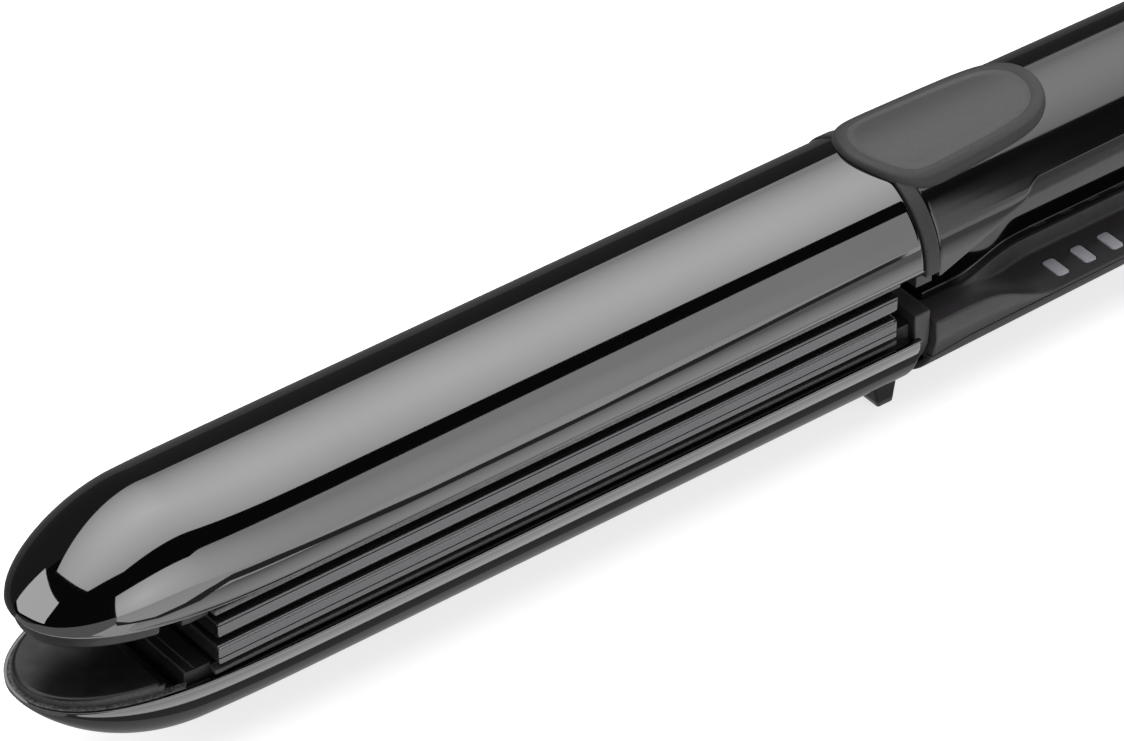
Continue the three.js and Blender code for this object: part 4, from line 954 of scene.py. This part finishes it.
patches = shell_wall(
    lambda x, inset: handle_form(-1, x, inset, seam_depth(x) + 0.15),
    handle_stations(HANDLE_START, TAIL_START), inset=0, wall=COVER_WALL, edge=0.15, radius=0.25,
    at_end=False,
)
add_piece(
    "lower_cover_skin", patches,
    housing_finish, "lower_arm", ["lower_handle_cover"], "housing",
)
patches = shell_wall(
    lambda x, inset: handle_form(-1, x, inset, 0.15 + 0 * x),
    np.linspace(TAIL_START, TAIL_END, 18), inset=0, wall=COVER_WALL, edge=0.15, radius=0.5,
    at_start=False,
)
add_piece("lower_tail_skin", patches, housing_finish, "lower_arm", [], "housing")

x, draw = soft_ends(handle_stations(HANDLE_START, 292.2), 0.3)
patches = wall_patches(
    lower_housing_section(x, 0.0, draw), lower_housing_section(x, HOUSING_WALL, -draw), 0.05
)
lower_housing = add_skin("lower_housing_skin", patches)

# %% Windows in the floor and holes for the buttons
WINDOW_COUNT, FIRST_WINDOW, WINDOW_PITCH = 5, 177.6, 5.27
WINDOW_PLACES = [FIRST_WINDOW + WINDOW_PITCH * i for i in range(WINDOW_COUNT)]
WINDOW_SIDE = -9.3
BUTTON_PLACES = {"power": 204.0, "plus": 216.0, "minus": 228.0}
BUTTON_RADIUS, BUTTON_HOLE = 2.6, 2.95
HINGE_ROOM_X = 279.5
window_shape = rounded_rectangle(1.1, 2.1, 0.6)
window_cut = soft_prism(drawn_in(window_shape, -0.16), -13, -8, 0.05)
cutters = [
    add_skin(f"cut{i}", placed(window_cut, x, WINDOW_SIDE)) for i, x in enumerate(WINDOW_PLACES)
]
cutters += [
    add_skin(f"hole_{name}", placed(soft_prism(disc(BUTTON_HOLE), -14, -3, 0.05), x))
    for name, x in BUTTON_PLACES.items()
]
hinge_room = placed(soft_block(11.5, 5.9, 0.5, -7.5, 4, 0.3), HINGE_ROOM_X)
cutters.append(add_skin("hinge_slot", hinge_room))
carve(lower_housing, cutters)
dress(lower_housing, housing_finish, "lower_arm", ["lower_inner_housing"], "housing")

for i, x in enumerate(WINDOW_PLACES):
    lens = placed(soft_prism(window_shape, -11.4, -9.8, 0.15), x, WINDOW_SIDE)
    add_piece(
        f"window_lens_{i + 1}", lens,
        window_finish, "lower_arm", [f"indicator_window_{i + 1}"], "window",
    )

# %% Strip and buttons
x, draw = soft_ends(np.linspace(152.0, 246.0, 95), 0.4)
strip_half = spine_half_width(x) - 0.3 - draw
foot, zero = -line_depth(x, *SPINE) + 0.3, 0 * x
top = foot + 1.4 - draw
left = [(zero, foot), (-strip_half, foot), (-strip_half, top), (zero, top)]
rings = fillet_path(both_sides(carried(x, left)), [0.05, 0.35, 0.05, 0.35, 0.05], 5)[:, :-1]
strip = add_skin("control_strip", loops_patches(rings))
holes = [
    add_skin(f"strip_hole_{name}", placed(soft_prism(disc(BUTTON_HOLE), -10, -3, 0.05), x))
    for name, x in BUTTON_PLACES.items()
]
carve(strip, holes)
dress(strip, panel_finish, "lower_arm", ["control_panel"], "gloss")
for name, x in BUTTON_PLACES.items():
    key = placed(soft_prism(disc(BUTTON_RADIUS), -10.1, -4.6, 0.4, 6), x)
    add_piece(f"{name}_key_cap", key, cap_finish, f"{name}_key", [f"{name}_button"], "cap")

# %% [markdown]
# ## Hinge, tail and cord inlet
#
# Nothing of these shows in the photograph, so they follow the CAD solids with softer edges. The
# tail cap is worked out anew, because its long gloss curve would show the solid's few facets.

# %% Hinge and tail
KNUCKLE_BORE, KNUCKLE_RADIUS, KNUCKLE_CHAMFER = 2.3, 7.0, 0.4


def knuckle_profile(half):
    """Wall of a knuckle from the pin's bore outwards, with small chamfers, closed on itself."""
    face = KNUCKLE_RADIUS - KNUCKLE_CHAMFER
    return [
        (KNUCKLE_BORE, -half), (face, -half), (KNUCKLE_RADIUS, KNUCKLE_CHAMFER - half),
        (KNUCKLE_RADIUS, half - KNUCKLE_CHAMFER), (face, half), (KNUCKLE_BORE, half),
        (KNUCKLE_BORE, -half),
    ]


for name, y, half, body in (
    ("lower_knuckle_left", -8.65, 2.75, "lower_arm"),
    ("lower_knuckle_right", 8.65, 2.75, "lower_arm"),
    ("upper_knuckle", 0, 5.4, "upper_arm"),
):
    add_piece(
        name, spun(knuckle_profile(half), (HINGE_X, y, 0)),
        housing_finish, body, [], "housing",
    )
lug = soft_block(8.0, 5.4, 0.6, 0.3, 6.3, 0.3)
add_piece("upper_lug", placed(lug, 275.8), housing_finish, "upper_arm", [], "housing")

pan = placed(soft_block(12.7, 7.1, 0.8, -8.7, -0.4, 0.3), HINGE_ROOM_X)
pan_piece = add_skin("hinge_pan", pan)
carve(pan_piece, [add_skin("pan_room", hinge_room)])
dress(pan_piece, housing_finish, "lower_arm", [], "housing")

LOCK_X = 299.35


def tail_form(x, inset):
    """The tail cap's skin: an ellipse over a spring at 1, its top falling as a square."""
    top = 8.8 - 3.5 * ((x - TAIL_START) / (TAIL_END - TAIL_START)) ** 2
    return arch(x, 1, half_width(x) - inset, 1.0, top - 1.0 - inset, 0.15)


patches = shell_wall(
    tail_form, np.linspace(TAIL_START, TAIL_END, 18), inset=0, wall=1.2, edge=0.15, radius=0.4
)
tail = add_skin("tail_cap_skin", patches)
channel = placed(soft_block(5.55, 4.3, 0.5, 5.78, 12, 0.05), LOCK_X)
carve(tail, [add_skin("channel", channel)])
dress(tail, gloss_finish, "lower_arm", ["tail_cap"], "gloss")
front = np.array([TAIL_START + 0.3, TAIL_START + 1.2])
patches = loops_patches(tail_form(front, 0.6 + 0 * front))
patches += placed(soft_block(5.85, 5.0, 0.4, 4.6, 5.75, 0.1), 299.65)
deck = add_skin("tail_deck", patches)
stem_slot = placed(soft_block(4.3, 1.8, 0.4, 3, 12, 0.05), LOCK_X)
carve(deck, [add_skin("stem_slot", stem_slot)])
dress(deck, cap_finish, "lower_arm", [], "cap")

add_mouldings([
    ("lock_slider", "lock", cap_finish, "cap", 0.4),
    ("gland_bush", "lower_arm", cap_finish, "cap", 0.2),
    ("cord_swivel", "inlet", cap_finish, "cap", 0.25),
])

# %% [markdown]
# ## Inner parts
#
# Heaters, springs, leads, board and screws keep their CAD meshes and only change finish.

# %% Finishes for the CAD nodes that stay
kept_finishes = [
    ("heater_clamp", steel_finish), ("heater_lead", lead_finish), ("heater", ceramic_finish),
    ("temperature_sensor", ceramic_finish), ("thermal_fuse", ceramic_finish),
    ("spring", steel_finish), ("shield", shield_finish), ("screw", steel_finish),
    ("switch", cap_finish), ("board", board_finish), ("light_strip", board_finish),
    ("hinge_pin", steel_finish),
]
for node, piece in frame["nodes"].items():
    if piece.hide_render:
        continue
    material = next(material for word, material in kept_finishes if word in node)
    for slot in piece.material_slots:
        slot.material = material
    print("kept", node, material.name)

# %% [markdown]
# ## Studio
#
# Polished metal has hardly any colour of its own: it shows the room. A product photographer
# therefore builds the room around the metal, with large glowing panels for the bright bands and
# black cards for the crisp dark gaps between them. The panels light everything plainly. The
# cards, and the paler cloths that lie low on the floor, are seen only by glossy rays, so they
# change neither the light nor the white background. Their outlines were drawn until the
# bands on the barrel fell as in the photograph, so they suit the main camera best.


# %% Studio helpers
RAY_KINDS = ("camera", "diffuse", "glossy", "transmission", "shadow", "volume_scatter")


def stage_sheet(name, corners, material, seen_by=RAY_KINDS):
    """A flat sheet that belongs to the studio, seen by the named kinds of rays only."""
    mesh = bpy.data.meshes.new(name)
    mesh.from_pydata(corners, [], [range(len(corners))])
    sheet = add_object(name, mesh)
    mesh.materials.append(material)
    for kind in RAY_KINDS:
        setattr(sheet, f"visible_{kind}", kind in seen_by)
    return sheet


def lying(x0, x1, y0, y1, z):
    """Corners of a level rectangle."""
    return [(x0, y0, z), (x1, y0, z), (x1, y1, z), (x0, y1, z)]


def standing(x0, x1, y, z0, z1):
    """Corners of an upright rectangle along x."""
    return [(x0, y, z0), (x1, y, z0), (x1, y, z1), (x0, y, z1)]


def level(z, *corners):
    """Corners (x, y) at one height."""
    return [(x, y, z) for x, y in corners]


def emptied_tree(material):
    """The emptied node tree of a material, with its output node."""
    material.use_nodes = True
    material.node_tree.nodes.clear()
    return material.node_tree, new_node(material.node_tree, "OutputMaterial")


def glow(name, radiance, edge=None, middle=(0, 0, 0), reach=(1, 1, 1)):
    """Even glow, or one that falls from the middle: edge + (radiance - edge) (1 - distance),
    with the distance measured in the reach of each axis."""
    material = bpy.data.materials.new(name)
    tree, out = emptied_tree(material)
    emission = new_node(tree, "Emission", Strength=radiance)
    wire(tree, emission, 0, "Surface", out)
    if edge is not None:
        place = new_node(tree, "TexCoord")
        start = [-m / r for m, r in zip(middle, reach)]
        scaled = new_node(tree, "Mapping", Scale=[1 / r for r in reach], Location=start)
        ball = new_node(tree, "TexGradient")
        ball.gradient_type = "SPHERICAL"
        span = new_node(tree, "MapRange", To_Min=edge, To_Max=radiance)
        wire(tree, place, "Object", "Vector", scaled, "Vector", "Vector", ball, "Fac", "Value",
             span, "Result", "Strength", emission)
    return material


def background_rays(tree):
    """A node whose output is 1 for camera, glossy and transmission rays, and else 0."""
    rays = new_node(tree, "LightPath")
    either, output = rays, "Is Camera Ray"
    for kind in ("Is Glossy Ray", "Is Transmission Ray"):
        largest = new_node(tree, "Math")
        largest.operation = "MAXIMUM"
        wire(tree, either, output, 0, largest)
        wire(tree, rays, kind, 1, largest)
        either, output = largest, 0
    return either


# %% Floor
FLOOR_REACH = 6.0
FLOOR_COLOUR = 0.6
FLOOR_GLOW = 0.7
pale = bpy.data.materials.new("pale floor")
tree, out = emptied_tree(pale)
plain = new_node(tree, "BsdfDiffuse", Color=(FLOOR_COLOUR, FLOOR_COLOUR, FLOOR_COLOUR, 1))
strength = new_node(tree, "Math")
strength.operation = "MULTIPLY"
strength.inputs[1].default_value = FLOOR_GLOW
wire(tree, background_rays(tree), 0, 0, strength)
lift = new_node(tree, "Emission")
both = new_node(tree, "AddShader")
wire(tree, plain, 0, 0, both, 0, "Surface", out)
wire(tree, strength, 0, "Strength", lift, 0, 1, both)
stage_sheet("floor", lying(-FLOOR_REACH, FLOOR_REACH, -FLOOR_REACH, FLOOR_REACH, 0), pale)

# %% Glowing panels
PANEL_RAYS = ("diffuse", "glossy", "transmission")
FRONT_Y = -1.2
stage_sheet(
    "overhead panel",
    [(-0.90, 0.70, 1.0), (-0.86, -0.36, 1.0), (-0.45, -0.60, 1.0), (0.45, -0.50, 1.0),
     (2.2, -0.50, 1.0), (2.2, 2.25, 1.0)],
    glow("overhead glow", 2.85, 1.1, (0.05, 0.2, 1.0), (2.4, 1.25, 1.0)), PANEL_RAYS,
)
stage_sheet(
    "front panel",
    [(x, FRONT_Y, z) for x, z in (
        (-0.50, 0), (0.785, 0), (0.82, 0.3), (0.87, 0.6), (0.975, 0.94), (1.14, 1.4),
        (0.72, 1.2), (0.28, 0.86), (-0.68, 0.85),
    )],
    glow("front glow", 2.6, 1.1, (-0.25, FRONT_Y, 0.35), (1.0, 1.0, 1.2)), PANEL_RAYS,
)
stage_sheet(
    "nose panel",
    [(-1.0, 1.21, 1.03), (-1.0, 0.05, 0.79), (-1.0, -0.08, 0.16), (-1.0, 1.08, 0.36)],
    glow("nose glow", 2.4), PANEL_RAYS,
)

# %% Dark cards
black_card, grey_card = glow("black card", 0.015), glow("charcoal card", 0.06)
dim_cloth, grey_cloth = glow("dim cloth", 0.13), glow("grey cloth", 0.3)
nose_cloth = glow("nose cloth", 0.5)
line_card = glow("line card", 0.1)
front_cloth = glow("front cloth", 1.4, 0.5, (0, -0.045, 0), (9, 0.06, 9))
rim_cloth = glow("rim cloth", 1.95, 1.0, (0, -0.0205, 0), (9, 0.0095, 9))
for name, corners, material in (
    ("rear card", standing(-2.4, 3.2, 2.3, 0, 3.4), grey_card),
    ("nose card", [(-1.9, -3.6, 0), (-1.9, 2.3, 0), (-1.9, 2.3, 3.4), (-1.9, -3.6, 3.4)],
     black_card),
    ("gap card", lying(-1.9, 3.2, -2.1, -0.2, 1.35), black_card),
    ("handle card", standing(0.5, 3.2, -1.3, 0.14, 1.6), black_card),
    ("corner card", standing(-1.9, 0.3, -1.6, 0, 1.6), black_card),
    ("rear cloth", lying(-1.9, 3.2, 0.03, 2.3, 0.002), dim_cloth),
    ("nose cloth", level(0.002, (-1.9, -1.6), (-0.62, -1.6), (-0.177, -0.117), (-0.165, 0.03),
                         (-1.9, 0.03)), nose_cloth),
    ("front cloth", level(0.0015, (-0.155, -0.0215), (-0.15, -0.08), (-0.13, -0.07),
                          (-0.09, -0.12), (0.0, -0.11), (0.05, -0.15), (0.13, -0.24),
                          (0.14, -0.0215)), front_cloth),
    ("rim cloth", level(0.0018, (-0.2, -0.030), (0.3, -0.0275), (0.3, -0.019),
                        (-0.2, -0.0215)), rim_cloth),
    ("under line", level(0.001, (-0.2, -0.0215), (0.3, -0.019), (0.3, -0.013),
                         (-0.2, -0.0155)), dim_cloth),
    ("under cloth", level(0.001, (-0.2, -0.0155), (0.3, -0.013), (0.3, 0.03), (-0.2, 0.03)),
     grey_cloth),
    ("front line", level(0.003, (-0.195, -0.17), (-0.158, -0.09), (-0.14, -0.076),
                         (-0.122, -0.093), (-0.08, -0.175), (-0.01, -0.33), (0.012, -0.31),
                         (-0.024, -0.186), (-0.035, -0.132), (-0.001, -0.133), (0.074, -0.21),
                         (0.2, -0.384), (0.348, -0.6), (0.108, -0.21), (0.047, -0.145),
                         (0.005, -0.107), (-0.035, -0.087), (-0.063, -0.088), (-0.067, -0.124),
                         (-0.086, -0.136), (-0.119, -0.074), (-0.138, -0.064), (-0.155, -0.075),
                         (-0.168, -0.085)), line_card),
):
    stage_sheet(name, corners, material, ("glossy",))

# %% World
AMBIENT = 0.3
world = bpy.data.worlds.new("studio")
scene.world = world
world.use_nodes = True
tree, backdrop = world.node_tree, world.node_tree.nodes["Background"]
span = new_node(tree, "MapRange", To_Min=AMBIENT, To_Max=1.0)
wire(tree, background_rays(tree), 0, "Value", span, "Result", "Strength", backdrop)
set_inputs(backdrop, Color=(1, 1, 1, 1))

# %% [markdown]
# ## Camera
#
# The lens and the place were fitted to the photograph's edges: a long lens, about 1.1 metres
# away, 38 degrees round from the side and 38 degrees above.

# %% Camera
CAMERA_TURN, CAMERA_TILT = 37.759, 37.783
EYE = (-0.5865, -0.67336, 0.68815)
FOCAL_PIXELS, PHOTO_WIDTH = 7642.2, 1124
SENSOR_WIDTH = 36.0
turn, tilt = math.radians(CAMERA_TURN), math.radians(CAMERA_TILT)
forward = np.array([
    math.sin(turn) * math.cos(tilt), math.cos(turn) * math.cos(tilt), -math.sin(tilt),
])
right = np.array([math.cos(turn), -math.sin(turn), 0.0])
upward = np.cross(right, forward)
camera_data = bpy.data.cameras.new("camera")
camera_data.sensor_width = SENSOR_WIDTH
camera_data.lens = FOCAL_PIXELS * SENSOR_WIDTH / PHOTO_WIDTH
camera = bpy.data.objects.new("camera", camera_data)
scene.collection.objects.link(camera)
camera.matrix_world = Matrix([
    [right[0], upward[0], -forward[0], EYE[0]], [right[1], upward[1], -forward[1], EYE[1]],
    [right[2], upward[2], -forward[2], EYE[2]], [0, 0, 0, 1],
])
camera_data.clip_start, camera_data.clip_end = 0.05, 30
scene.camera = camera
scene.view_settings.view_transform = "Standard"

# %% Last update of the scene
bpy.context.view_layer.update()
